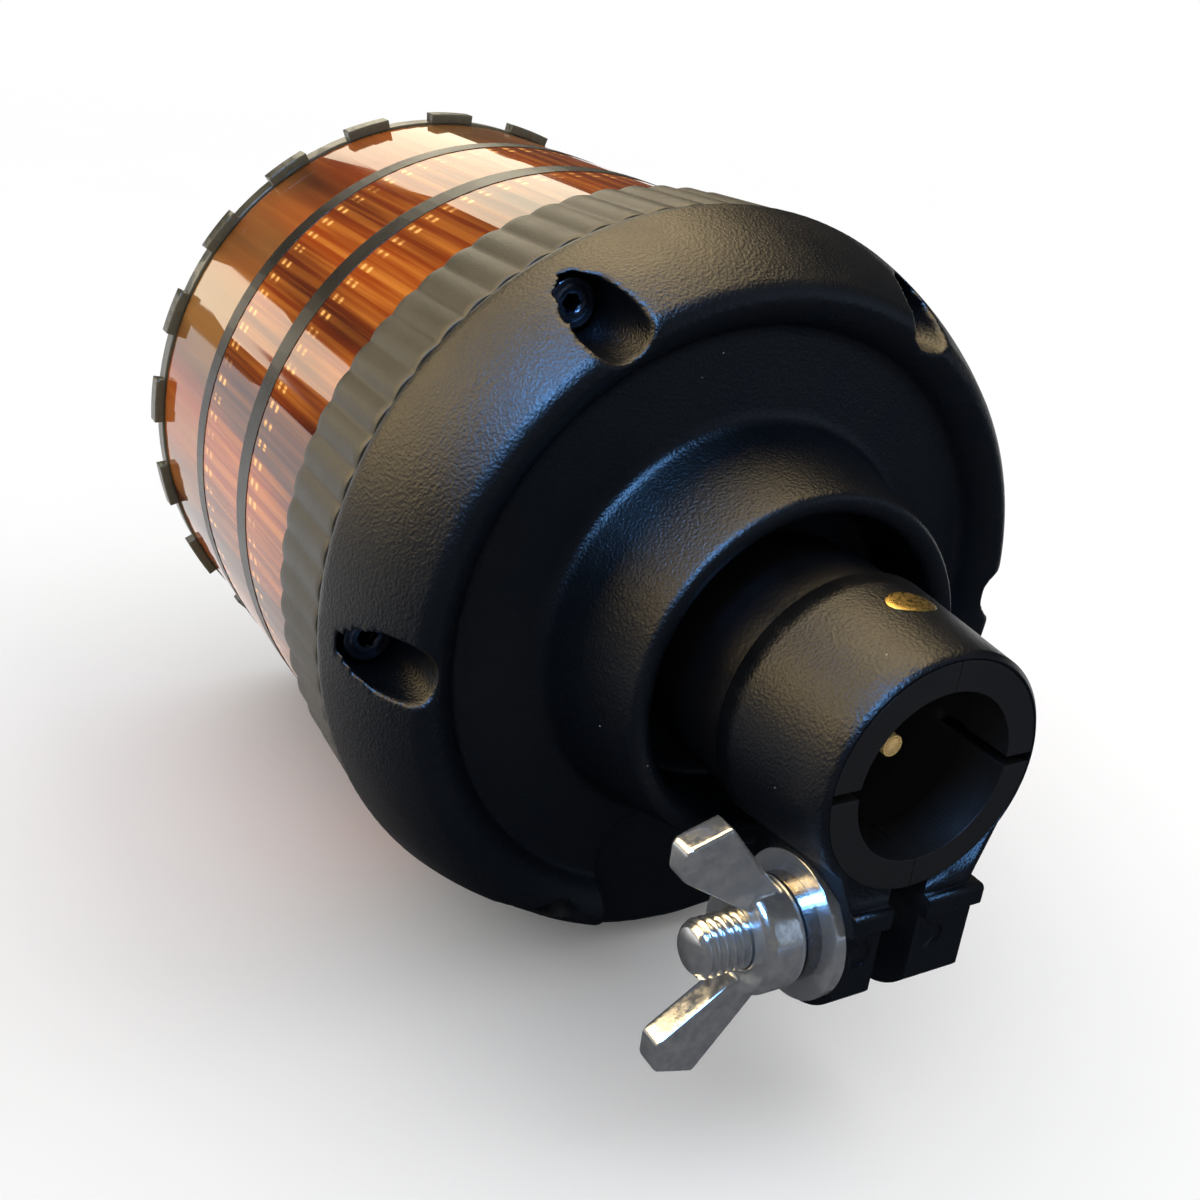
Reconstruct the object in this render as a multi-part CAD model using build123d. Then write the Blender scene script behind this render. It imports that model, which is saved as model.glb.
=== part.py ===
from build123d import *
import math
import os

# LED warning beacon on a clamp socket with a flexible stem.
# Lengths are millimetres and angles are degrees. Z runs up the beacon's axis, and the origin is
# the centre of the socket's mouth. The clamp ears point to -X, and the wing nut is on -Y.

# Pole socket
pole_radius = 12.0
pole_clearance = 0.2
liner_wall = 4.23
liner_clearance = 0.05
liner_length = 19.5
front_land_length = 8.0
rear_land_length = 5.5
land_relief = 0.4
liner_slot_width = 1.5
liner_slot_length = 13.0
liner_parting_gap = 0.15
mouth_radius = 17.55
mouth_chamfer = 0.7
tube_end_radius = 19.4
tube_floor = 0.6

# Clamp ears
clamp_slit_width = 6.2
nut_ear_face = 9.4
head_ear_face = 12.7
ear_end_radius = 11.3
web_tube_half_width = 15.8
web_head_half_width = 10.9
web_start = 3.6
web_end = 18.5
ear_bar_height = 1.5
ear_bar_width = 3.3
ear_bar_rounding = 0.7
mark_radius = 2.0
mark_depth = 0.3
mark_offset = 6.4

# Clamp bolt, washers and wing nut
bolt_axis_x = -26.1
bolt_axis_z = 9.3
bolt_radius = 4.0
bolt_hole_clearance = 0.3
bolt_length = 35.0
bolt_end_chamfer = 1.0
bolt_head_flats = 13.0
bolt_head_height = 5.3
bolt_head_clearance = 0.15
washer_radius = 10.3
washer_thickness = 1.6
washer_hole_clearance = 0.2
washer_seat_clearance = 0.4
lock_washer_radius = 7.4
lock_washer_thickness = 2.1
lock_washer_cut = 1.2
lock_washer_cut_slant = 22.0
nut_hub_radius = 7.75
nut_hub_length = 6.4
nut_hub_chamfer = 0.8
nut_running_clearance = 0.05
nut_bolt_reach = 7.2
wing_span_radius = 19.3
wing_tip_rise = 11.4
wing_tip_length = 6.5
wing_tip_flat = 2.0
wing_root_depth = 2.5
wing_thickness = 4.0
wing_edge_rounding = 1.2

# Sprung contact in the socket
pin_radius = 1.6
pin_running_clearance = 0.06
pin_tip_height = 8.3
pin_flange_radius = 2.9
pin_flange_thickness = 1.0
pin_groove_radius = 1.1
pin_groove_width = 0.25
pin_groove_depth = 0.3
carrier_radius = 10.0
carrier_height = 10.0
carrier_front_wall = 1.5
carrier_end_wall = 1.0
carrier_chamber_clearance = 0.1
carrier_lead_radius = 1.2
part_seat_gap = 0.05
spring_wire_radius = 0.25
spring_coil_radius = 2.2
spring_turns = 4
earth_ring_thickness = 0.5
earth_ring_inner_radius = 9.0
earth_ring_margin = 0.2

# Flexible stem
pivot_height = 45.0
core_neck_radius = 15.4
core_top_height = 39.0
lead_hole_radius = 2.5
sleeve_outer_radius = 18.6
sleeve_clearance = 0.1
sleeve_top_height = 37.0
flex_ball_radius = 13.28
flex_ball_gap = 0.3
flex_core_radius = 12.0
flex_waist_radius = 10.5
flex_waist_half_height = 3.0
flex_flat_radius = 7.0
flex_hole_radius = 3.0

# Base housing, outer skin
neck_bore_radius = 24.2
neck_lip_radius = 27.6
neck_lip_height = 28.3
neck_lip_round = 0.8
neck_lip_inner_drop = 1.0
neck_foot_radius = 31.6
neck_foot_height = 44.4
neck_foot_fillet = 1.8
channel_width = 4.7
channel_rise = 1.0
shoulder_crest_inset = 9.2
shoulder_crest_height = 42.6
shoulder_inner_bulge = 0.9
shoulder_fall = 2.3
shoulder_reach = 2.8
shoulder_bulge = 0.45
flank_bulge = 0.7
flank_top_radius = 59.4
flank_top_height = 61.1
rim_inset = 0.4
rim_rise = 1.5

# Base housing, inside
base_wall = 3.0
base_floor_thickness = 3.0
floor_above_pivot = 1.0
floor_hole_radius = 14.0
seat_boss_radius = 22.0
seat_boss_height = 3.0
pocket_count = 6
pocket_first_angle = 30.0
pocket_inset = 5.5
pocket_roof_thickness = 2.8
pocket_radius = 4.5
pocket_wall = 2.0
scoop_half_width = 17.2
scoop_inner_end = 31.4
scoop_corner_radius = 6.0
scoop_floor_height = 48.8
floor_rib_count = 12
floor_rib_first_angle = 15.0
floor_rib_thickness = 1.5
floor_rib_board_gap = 2.5
pillar_count = 3
pillar_first_angle = 60.0
pillar_inset = 8.0
pillar_radius = 3.5

# Screws that join base and collar ring
base_screw_radius = 2.0
base_screw_head_radius = 3.5
base_screw_head_height = 2.6
base_screw_tip_cover = 1.2
base_screw_socket_radius = 1.5
base_screw_socket_depth = 1.4
screw_hole_clearance = 0.2
screw_boss_radius = 4.6

# Seat plate
seat_flange_radius = 22.0
seat_flange_thickness = 4.0
seat_flange_clearance = 0.5
seat_hub_radius = 15.5
seat_hub_top = 60.0
small_screw_radius = 1.5
small_screw_head_radius = 2.75
small_screw_head_height = 2.0
small_screw_socket_radius = 1.2
small_screw_socket_depth = 1.0
seat_screw_count = 4
seat_screw_first_angle = 45.0
seat_screw_circle_radius = 18.7
seat_screw_length = 6.0

# Gasket and ribbed collar ring
base_gasket_thickness = 0.4
base_gasket_inset = 0.5
collar_height = 18.0
collar_rib_count = 72
collar_foot_proud = 0.06
collar_foot_rib_depth = 0.51
collar_top_rib_depth = 0.43
collar_taper = 0.64
collar_wall = 2.8
collar_seat_depth = 6.0
collar_ledge_width = 4.7
collar_ledge_thickness = 2.5

# Lens and its bayonet
lens_inset = 1.69
lens_wall = 3.0
lens_height = 74.7
lens_skirt_inset = 1.3
flute_count = 108
flute_depth = 0.4
flute_overlap = 2.5
lens_skirt_clearance = 0.3
lens_gasket_thickness = 1.0
lens_seat_gap = 0.3
bayonet_count = 4
bayonet_arc = 14.0
bayonet_slot_extra = 4.0
bayonet_turn = 26.0
bayonet_reach = 1.3
bayonet_height = 2.0
bayonet_lip_thickness = 1.8
band_proud = 0.1
band_depth = 1.0
lower_zone_length = 23.5
lower_band_width = 4.8
middle_zone_length = 20.1
upper_band_width = 3.9
spigot_inset = 5.3
spigot_height = 2.0
spigot_wall = 2.0

# Top cap
cap_overhang = 0.4
cap_side_height = 3.4
cap_dome_height = 1.8
cap_edge_inset = 5.7
cap_edge_drop = 0.45
cap_edge_bulge = 0.5
cap_wall = 2.2
cap_spigot_clearance = 0.2
cap_lug_count = 21
cap_lug_phase = -0.94
cap_lug_angle = 8.2
cap_lug_reach = 1.5
cap_lug_height = 3.0
cap_lug_drop = 0.5
cap_seal_width = 2.0
cap_seal_thickness = 0.5

# Chassis, heat sink and boards
pillar_height = 9.0
board_thickness = 1.6
driver_board_inset = 1.5
driver_board_hole_clearance = 1.5
spacer_length = 7.4
chassis_thickness = 2.0
chassis_inset = 4.5
chassis_hole_radius = 12.0
chassis_screw_length = 16.0
spacer_radius = 3.0
heat_sink_flats = 44.0
heat_sink_bore_radius = 17.0
heat_sink_headroom = 3.7
heat_sink_fin_count = 12
heat_sink_fin_thickness = 1.4
heat_sink_fin_reach = 7.0
heat_sink_foot_radius = 33.0
heat_sink_foot_thickness = 2.5
heat_sink_screw_circle = 29.5
heat_sink_screw_count = 6
heat_sink_screw_length = 4.5
led_board_width = 22.0
led_board_margin = 1.5
led_size = 5.0
led_height = 1.5
led_window_radius = 1.9
led_window_height = 0.6
led_pitch = 11.0

# Components on the driver board
capacitor_radius = 3.15
capacitor_height = 5.4
capacitor_base = 6.6
capacitor_inset = 14.0
capacitor_angles = (255.0, 270.0, 285.0)
inductor_size = 8.0
inductor_height = 4.5
chip_length = 9.0
chip_width = 4.0
chip_height = 1.6
chip_angles = (120.0, 210.0)
terminal_length = 15.0
terminal_width = 7.0
terminal_height = 6.5
terminal_cut = 3.2
terminal_floor = 1.0

# Sizes that follow from the ones above
bore_radius = pole_radius + pole_clearance
liner_radius = bore_radius + liner_wall
liner_hole_radius = liner_radius + liner_clearance
liner_stop_height = liner_length + earth_ring_thickness
tube_length = liner_stop_height + tube_floor
carrier_top_height = liner_stop_height + carrier_height
pin_hole_radius = pin_radius + pin_running_clearance
chamber_radius = pin_flange_radius + carrier_chamber_clearance
chamber_bottom = liner_stop_height + carrier_front_wall
chamber_top = carrier_top_height - carrier_end_wall
pin_flange_bottom = chamber_bottom + part_seat_gap
spring_bottom = pin_flange_bottom + pin_flange_thickness
cup_radius = flex_ball_radius + flex_ball_gap
washer_outer_face = nut_ear_face + washer_thickness
lock_washer_outer_face = washer_outer_face + lock_washer_thickness
nut_face = lock_washer_outer_face + part_seat_gap
nut_end = nut_face + nut_hub_length
bolt_end = nut_end + nut_bolt_reach
bolt_seat = bolt_length - bolt_end
floor_top = pivot_height + floor_above_pivot
floor_bottom = floor_top - base_floor_thickness
seat_plate_bottom = floor_top + seat_boss_height
seat_flange_top = seat_plate_bottom + seat_flange_thickness
channel_start_height = neck_foot_height + neck_foot_fillet
shoulder_crest_radius = flank_top_radius - shoulder_crest_inset
channel_outer_radius = shoulder_crest_radius - channel_width
rim_radius = flank_top_radius - rim_inset
rim_height = flank_top_height + rim_rise
pocket_circle_radius = rim_radius - pocket_inset
pocket_seat_height = rim_height - pocket_roof_thickness
base_screw_head_face = pocket_seat_height - base_screw_head_height
collar_foot_height = rim_height + base_gasket_thickness
collar_top_height = collar_foot_height + collar_height
collar_ledge_height = collar_top_height - collar_seat_depth
base_screw_tip = collar_ledge_height - base_screw_tip_cover
collar_foot_crest = rim_radius + collar_foot_proud
collar_foot_valley = collar_foot_crest - collar_foot_rib_depth
collar_top_crest = collar_foot_crest - collar_taper
collar_top_valley = collar_top_crest - collar_top_rib_depth
collar_bore_radius = collar_top_valley - collar_wall
collar_ledge_inner_radius = collar_bore_radius - collar_ledge_width
lens_radius = collar_top_valley - lens_inset
lens_bore_radius = lens_radius - lens_wall
lens_skirt_radius = lens_radius - lens_skirt_inset
lens_foot_height = collar_ledge_height + lens_gasket_thickness
lens_top_height = collar_top_height + lens_height
lower_band_bottom = collar_top_height + lower_zone_length
lower_band_top = lower_band_bottom + lower_band_width
upper_band_bottom = lower_band_top + middle_zone_length
upper_band_top = upper_band_bottom + upper_band_width
spigot_radius = lens_radius - spigot_inset
cap_radius = lens_radius + cap_overhang
cap_bottom = lens_top_height + cap_seal_thickness
driver_board_height = floor_top + pillar_height
driver_board_top = driver_board_height + board_thickness
driver_board_radius = channel_outer_radius - driver_board_inset
pillar_circle_radius = driver_board_radius - pillar_inset
capacitor_circle_radius = driver_board_radius - capacitor_inset
chassis_height = driver_board_top + spacer_length
chassis_top = chassis_height + chassis_thickness
chassis_radius = collar_ledge_inner_radius - chassis_inset
foot_top = chassis_top + heat_sink_foot_thickness
heat_sink_apothem = heat_sink_flats / 2
heat_sink_top = lens_top_height - lens_wall - heat_sink_headroom


def rod(radius, low, high, x=0.0, y=0.0):
    """Upright cylinder between two heights."""
    return Pos(x, y, low) * Cylinder(radius, high - low, align=(Align.CENTER, Align.CENTER, Align.MIN))


def ring(inner_radius, outer_radius, low, high):
    """Upright ring of square section."""
    return rod(outer_radius, low, high) - rod(inner_radius, low, high)


def block(x_low, x_high, y_low, y_high, z_low, z_high):
    """Box between two corners."""
    corner = Pos(x_low, y_low, z_low)
    return corner * Box(x_high - x_low, y_high - y_low, z_high - z_low, align=(Align.MIN,) * 3)


def turned(*corners):
    """Solid turned about Z from straight lines through (radius, height) corners."""
    outline = Polyline(*[(radius, 0, height) for radius, height in corners], close=True)
    return revolve(make_face(outline), Axis.Z)


def y_rod(radius, near, far):
    """Cylinder on the bolt's axis that starts at distance near and ends at far, both towards -Y."""
    direction = Plane(origin=(bolt_axis_x, -near, bolt_axis_z), x_dir=(1, 0, 0), z_dir=(0, -1, 0))
    return direction * Cylinder(radius, far - near, align=(Align.CENTER, Align.CENTER, Align.MIN))


def angles(count, first=0.0):
    """Evenly spaced angles round the axis."""
    return [first + 360.0 * step / count for step in range(count)]


def turned_copies(piece, count, first=0.0):
    """Copies of a piece round the axis, from one that lies on +X."""
    return [Rot(0, 0, angle) * piece for angle in angles(count, first)]


def bulged(start, end, bulge):
    """Arc in the XZ plane from start to end that swells to the right of the way it runs."""
    run = end[0] - start[0]
    rise = end[1] - start[1]
    length = math.hypot(run, rise)
    middle_x = (start[0] + end[0]) / 2 + bulge * rise / length
    middle_z = (start[1] + end[1]) / 2 - bulge * run / length
    return ThreePointArc((start[0], 0, start[1]), (middle_x, 0, middle_z), (end[0], 0, end[1]))


def straight(start, end):
    """Line in the XZ plane."""
    return Line((start[0], 0, start[1]), (end[0], 0, end[1]))


# Pole socket and its liner

def socket_tube():
    """Flared tube with the narrower neck of the flexible stem above it."""
    return turned(
        (0, 0),
        (mouth_radius - mouth_chamfer, 0),
        (mouth_radius, mouth_chamfer),
        (tube_end_radius, tube_length),
        (core_neck_radius, tube_length),
        (core_neck_radius, core_top_height),
        (0, core_top_height),
    )


def ear_side_outline():
    """Side view of both ears: a round end about the bolt, cut flat at the mouth plane."""
    round_end = Plane.XZ * Pos(bolt_axis_x, bolt_axis_z) * Circle(ear_end_radius)
    middle_x = (bolt_axis_x - web_start) / 2
    length = -bolt_axis_x - web_start
    body = Plane.XZ * Pos(middle_x, tube_length / 2) * Rectangle(length, tube_length)
    lower_half = Plane.XZ * Pos(bolt_axis_x, tube_length / 2) * Rectangle(3 * ear_end_radius, tube_length)
    return (round_end & lower_half) + body


def ear_plan():
    """Plan of web and ears together, wide at the tube and stepped out at the bolt head's ear."""
    ear_tip = bolt_axis_x - 2 * ear_end_radius
    corners = [
        (-web_start, web_tube_half_width),
        (-web_end, web_head_half_width),
        (-web_end, head_ear_face),
        (ear_tip, head_ear_face),
        (ear_tip, -nut_ear_face),
        (-web_end, -nut_ear_face),
        (-web_start, -web_tube_half_width),
    ]
    return make_face(Polyline(*corners, close=True))


def ear_bar(side, face):
    """Raised bar across the front of one ear."""
    low = min(side * clamp_slit_width / 2, side * face)
    high = max(side * clamp_slit_width / 2, side * face)
    bar = block(-web_end - ear_bar_width, -web_end, low, high, -ear_bar_height, tube_length / 4)
    front_edges = bar.edges().filter_by(Axis.Y).group_by(Axis.Z)[0]
    return fillet(front_edges, ear_bar_rounding)


def bolt_head_prism(flats, start, end):
    """Hexagon along the bolt's axis towards +Y."""
    corner_radius = flats / math.sqrt(3)
    plane = Plane(origin=(bolt_axis_x, start, bolt_axis_z), x_dir=(1, 0, 0), z_dir=(0, 1, 0))
    return extrude(plane * RegularPolygon(corner_radius, 6), end - start)


def clamp_socket():
    """Moulded socket: tube, web, two ears, and the cup of the flexible stem."""
    ears = extrude(ear_side_outline(), 2 * head_ear_face, both=True) & extrude(ear_plan(), tube_length)
    body = socket_tube() + ears + ear_bar(1, head_ear_face) + ear_bar(-1, nut_ear_face)
    body -= rod(liner_hole_radius, -ear_bar_height, liner_stop_height)
    body -= block(2 * bolt_axis_x, 0, -clamp_slit_width / 2, clamp_slit_width / 2,
                  -2 * ear_bar_height, tube_length)
    body -= rod(carrier_radius, liner_stop_height, carrier_top_height)
    body -= rod(lead_hole_radius, carrier_top_height, core_top_height)
    body -= Pos(0, 0, pivot_height) * Sphere(cup_radius)
    body -= y_rod(bolt_radius + bolt_hole_clearance, -2 * head_ear_face, 2 * nut_ear_face)
    body -= bolt_head_prism(bolt_head_flats + 2 * bolt_head_clearance, bolt_seat, 2 * head_ear_face)
    body -= y_rod(washer_radius + washer_seat_clearance, nut_ear_face, 2 * nut_ear_face)
    for side in (-1, 1):
        body -= rod(mark_radius, -mark_depth, mark_depth, bolt_axis_x, side * mark_offset)
    return body


def liner_half(side):
    """One half of the split liner, with two lands that grip the pole and a slot at its middle."""
    shell = ring(bore_radius, liner_radius, 0, liner_length)
    relief_top = liner_length - rear_land_length
    shell -= ring(bore_radius / 2, bore_radius + land_relief, front_land_length, relief_top)
    low, high = sorted((side * liner_parting_gap / 2, side * 2 * liner_radius))
    shell &= block(-2 * liner_radius, 2 * liner_radius, low, high, 0, liner_length)
    slot_low, slot_high = sorted((side * bore_radius / 2, side * 2 * liner_radius))
    slot_side = liner_slot_width / 2
    shell -= block(-slot_side, slot_side, slot_low, slot_high, 0, liner_slot_length)
    return shell


def earth_contact():
    """Metal ring at the bottom of the socket that the pole's end meets."""
    outer = liner_radius - earth_ring_margin
    return ring(earth_ring_inner_radius, outer, liner_length, liner_stop_height)


def contact_carrier():
    """Insulating block with the chamber of the sprung pin."""
    body = rod(carrier_radius, liner_stop_height, carrier_top_height)
    body -= rod(pin_hole_radius, liner_stop_height, chamber_bottom)
    body -= rod(chamber_radius, chamber_bottom, chamber_top)
    body -= rod(carrier_lead_radius, chamber_top, carrier_top_height)
    return body


def contact_pin():
    """Brass pin with a flange that holds it in the carrier and a ring round its tip's centre."""
    pin = rod(pin_radius, pin_tip_height, pin_flange_bottom)
    pin += rod(pin_flange_radius, pin_flange_bottom, spring_bottom)
    groove_outer = pin_groove_radius + pin_groove_width
    pin -= ring(pin_groove_radius, groove_outer, pin_tip_height, pin_tip_height + pin_groove_depth)
    return pin


def contact_spring():
    """Coil spring behind the pin's flange."""
    low = spring_bottom + spring_wire_radius
    high = chamber_top - spring_wire_radius
    path = Pos(0, 0, low) * Helix((high - low) / spring_turns, high - low, spring_coil_radius)
    start = path @ 0
    wire = Plane(origin=start, z_dir=path % 0) * RegularPolygon(spring_wire_radius, 6)
    return sweep(wire, path, is_frenet=True)


# Clamp bolt, washers and wing nut

def clamp_bolt():
    """Hexagon bolt through both ears, its head in a pocket of the far ear."""
    shank = y_rod(bolt_radius, -bolt_seat, bolt_end)
    end_edge = shank.edges().filter_by(GeomType.CIRCLE).sort_by(Axis.Y)[0]
    shank = chamfer(end_edge, bolt_end_chamfer)
    return shank + bolt_head_prism(bolt_head_flats, bolt_seat, bolt_seat + bolt_head_height)


def flat_washer():
    """Large flat washer on the near ear."""
    hole = bolt_radius + washer_hole_clearance
    disc = y_rod(washer_radius, nut_ear_face, washer_outer_face)
    return disc - y_rod(hole, nut_ear_face, washer_outer_face)


def spring_washer():
    """Lock washer with its cut."""
    hole = bolt_radius + washer_hole_clearance
    body = y_rod(lock_washer_radius, washer_outer_face, lock_washer_outer_face)
    body -= y_rod(hole, washer_outer_face, lock_washer_outer_face)
    cut = Box(lock_washer_cut, 3 * lock_washer_thickness, 2 * lock_washer_radius)
    middle = -(washer_outer_face + lock_washer_outer_face) / 2
    place = Pos(bolt_axis_x, middle, bolt_axis_z + lock_washer_radius)
    return body - place * Rot(0, 0, lock_washer_cut_slant) * cut


def wing(side):
    """One wing in side view: it leaves the hub's outer half and slants out to a rounded tip."""
    hub_inner = nut_hub_radius - wing_root_depth
    corners = [
        (bolt_axis_x + side * hub_inner, -nut_face - nut_hub_length / 3),
        (bolt_axis_x + side * nut_hub_radius, -nut_face - nut_hub_length / 3),
        (bolt_axis_x + side * wing_span_radius, -nut_end - wing_tip_rise + wing_tip_length),
        (bolt_axis_x + side * (wing_span_radius - wing_tip_flat), -nut_end - wing_tip_rise),
        (bolt_axis_x + side * (wing_span_radius - wing_tip_length), -nut_end - wing_tip_rise),
        (bolt_axis_x + side * hub_inner, -nut_end),
    ]
    plan = make_face(Polyline(*corners, close=True))
    slab = Pos(0, 0, bolt_axis_z - wing_thickness / 2) * extrude(plan, wing_thickness)
    tips = slab.edges().filter_by(Axis.Z).group_by(Axis.Y)[0]
    slab = fillet(tips, wing_edge_rounding)
    return slab


def wing_nut():
    """Wing nut with a turned hub and two slanting wings."""
    hub = y_rod(nut_hub_radius, nut_face, nut_end)
    rims = hub.edges().filter_by(GeomType.CIRCLE)
    hub = chamfer(rims, nut_hub_chamfer)
    body = hub + wing(1) + wing(-1)
    return body - y_rod(bolt_radius + nut_running_clearance, nut_face, nut_end + wing_tip_rise)


# Flexible stem

def stem_sleeve():
    """Rubber sleeve on the socket's neck."""
    inner = core_neck_radius + sleeve_clearance
    return ring(inner, sleeve_outer_radius, tube_length + flex_ball_gap, sleeve_top_height)


def flex_core():
    """Flexible core: two ball faces on one centre, joined by a waist."""
    ball = Sphere(flex_ball_radius)
    flat_height = math.sqrt(flex_ball_radius ** 2 - flex_flat_radius ** 2)
    body = ball & rod(flex_core_radius, -flat_height, flat_height)
    groove = ring(flex_waist_radius, 2 * flex_core_radius, -flex_waist_half_height, flex_waist_half_height)
    body -= groove
    body -= rod(flex_hole_radius, -2 * flex_ball_radius, 2 * flex_ball_radius)
    return Pos(0, 0, pivot_height) * body


def seat_plate():
    """Flanged cup that holds the flexible core in the base."""
    body = rod(seat_flange_radius, seat_plate_bottom, seat_flange_top)
    body += rod(seat_hub_radius, seat_plate_bottom, seat_hub_top)
    body -= Pos(0, 0, pivot_height) * Sphere(cup_radius)
    body -= rod(flex_hole_radius, seat_plate_bottom, seat_hub_top)
    hole = rod(small_screw_radius, seat_plate_bottom, seat_flange_top, seat_screw_circle_radius)
    for screw_hole in turned_copies(hole, seat_screw_count, seat_screw_first_angle):
        body -= screw_hole
    return body


def small_screw(circle_radius, head_bottom, length):
    """Round headed screw, upright on +X, with a socket in its head."""
    head_top = head_bottom + small_screw_head_height
    screw = rod(small_screw_radius, head_bottom - length, head_bottom, circle_radius)
    screw += rod(small_screw_head_radius, head_bottom, head_top, circle_radius)
    screw -= rod(small_screw_socket_radius, head_top - small_screw_socket_depth, head_top, circle_radius)
    return screw


def seat_screws():
    """Screws of the seat plate, one solid each."""
    screw = small_screw(seat_screw_circle_radius, seat_flange_top, seat_screw_length)
    return turned_copies(screw, seat_screw_count, seat_screw_first_angle)


# Base housing

def base_envelope():
    """Outer skin of the base as a full turned solid: neck, channel, shoulder and flank."""
    lip_inner = (neck_bore_radius, neck_lip_height + neck_lip_inner_drop)
    lip_outer = (neck_lip_radius, neck_lip_height)
    foot = (neck_foot_radius, neck_foot_height)
    channel_start = (neck_foot_radius + neck_foot_fillet, channel_start_height)
    channel_end = (channel_outer_radius, channel_start_height + channel_rise)
    crest = (shoulder_crest_radius, shoulder_crest_height)
    flank_start = (shoulder_crest_radius + shoulder_reach, shoulder_crest_height + shoulder_fall)
    flank_top = (flank_top_radius, flank_top_height)
    rim = (rim_radius, rim_height)
    outline = [
        bulged(lip_inner, lip_outer, neck_lip_round),
        straight(lip_outer, foot),
        bulged(foot, channel_start, -neck_foot_fillet / 4),
        straight(channel_start, channel_end),
        bulged(channel_end, crest, shoulder_inner_bulge),
        bulged(crest, flank_start, shoulder_bulge),
        bulged(flank_start, flank_top, flank_bulge),
        straight(flank_top, rim),
        straight(rim, (0, rim_height)),
        straight((0, rim_height), (0, lip_inner[1])),
        straight((0, lip_inner[1]), lip_inner),
    ]
    return revolve(make_face(Wire(outline)), Axis.Z)


def base_void():
    """Space inside the base above its floor, one wall in from the skin."""
    channel_top = channel_start_height + channel_rise + base_wall
    crest_top = shoulder_crest_height + base_wall
    return turned(
        (0, floor_top),
        (neck_foot_radius - base_wall / 2, floor_top),
        (neck_foot_radius + neck_foot_fillet, channel_top),
        (channel_outer_radius + base_wall / 3, channel_top),
        (shoulder_crest_radius - base_wall / 3, crest_top),
        (shoulder_crest_radius + base_wall / 3, crest_top),
        (shoulder_crest_radius + shoulder_reach + flank_bulge, pocket_seat_height - 2 * base_wall),
        (flank_top_radius - base_wall, flank_top_height - base_wall / 2),
        (rim_radius - base_wall, rim_height),
        (0, rim_height),
    )


def scoop(extra, low, high):
    """Round cornered channel under the ears, run out through the flank, widened by extra."""
    length = 2 * flank_top_radius
    centre = -scoop_inner_end + extra - length / 2
    width = 2 * (scoop_half_width + extra)
    plan = Pos(centre, 0) * RectangleRounded(length, width, scoop_corner_radius + extra)
    return Pos(0, 0, low) * extrude(plan, high - low)


def base_housing():
    """Moulded base: skin, floor, screw pockets, scoop, seat boss and board pillars."""
    envelope = base_envelope()
    inside = base_void()
    pocket_boss = rod(pocket_radius + pocket_wall, shoulder_crest_height, rim_height, pocket_circle_radius)
    for boss in turned_copies(pocket_boss, pocket_count, pocket_first_angle):
        inside -= boss
    inside -= scoop(base_wall, floor_bottom, scoop_floor_height + base_wall)
    inside -= ring(floor_hole_radius, seat_boss_radius, floor_top, seat_plate_bottom)
    pillar = rod(pillar_radius, floor_top, driver_board_height, pillar_circle_radius)
    for post in turned_copies(pillar, pillar_count, pillar_first_angle):
        inside -= post
    rib = block(seat_boss_radius - floor_rib_thickness, channel_outer_radius, -floor_rib_thickness / 2,
                floor_rib_thickness / 2, floor_top, driver_board_height - floor_rib_board_gap)
    for web in turned_copies(rib, floor_rib_count, floor_rib_first_angle):
        inside -= web
    inside += rod(seat_flange_radius + seat_flange_clearance, seat_plate_bottom, rim_height)
    body = envelope - inside
    body -= rod(neck_bore_radius, neck_lip_height - neck_lip_round, floor_bottom)
    body -= rod(floor_hole_radius, floor_bottom, floor_top)
    body -= scoop(0, neck_foot_height - 2 * base_wall, scoop_floor_height)
    pocket = rod(pocket_radius, neck_foot_height - 2 * base_wall, pocket_seat_height, pocket_circle_radius)
    hole = rod(base_screw_radius + screw_hole_clearance, pocket_seat_height, rim_height, pocket_circle_radius)
    for cut in turned_copies(pocket, pocket_count, pocket_first_angle):
        body -= cut
    for cut in turned_copies(hole, pocket_count, pocket_first_angle):
        body -= cut
    seat_hole = rod(small_screw_radius, seat_flange_top - seat_screw_length, seat_plate_bottom,
                    seat_screw_circle_radius)
    for cut in turned_copies(seat_hole, seat_screw_count, seat_screw_first_angle):
        body -= cut
    pillar_hole = rod(small_screw_radius, chassis_top - chassis_screw_length, driver_board_height,
                      pillar_circle_radius)
    for cut in turned_copies(pillar_hole, pillar_count, pillar_first_angle):
        body -= cut
    return body


def base_screws():
    """Screws that pull the collar ring onto the base, heads in the pockets."""
    screw = rod(base_screw_radius, pocket_seat_height, base_screw_tip, pocket_circle_radius)
    screw += rod(base_screw_head_radius, base_screw_head_face, pocket_seat_height, pocket_circle_radius)
    screw -= rod(base_screw_socket_radius, base_screw_head_face,
                 base_screw_head_face + base_screw_socket_depth, pocket_circle_radius)
    return turned_copies(screw, pocket_count, pocket_first_angle)


def base_gasket():
    """Flat gasket between base and collar ring, set back as a dark line."""
    outer = rim_radius - base_gasket_inset
    body = ring(rim_radius - base_wall, outer, rim_height, collar_foot_height)
    ear = rod(screw_boss_radius, rim_height, collar_foot_height, pocket_circle_radius)
    hole = rod(base_screw_radius + screw_hole_clearance, rim_height, collar_foot_height, pocket_circle_radius)
    for tab in turned_copies(ear, pocket_count, pocket_first_angle):
        body += tab
    body &= rod(outer, rim_height, collar_foot_height)
    for cut in turned_copies(hole, pocket_count, pocket_first_angle):
        body -= cut
    return body


# Ribbed collar ring

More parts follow.
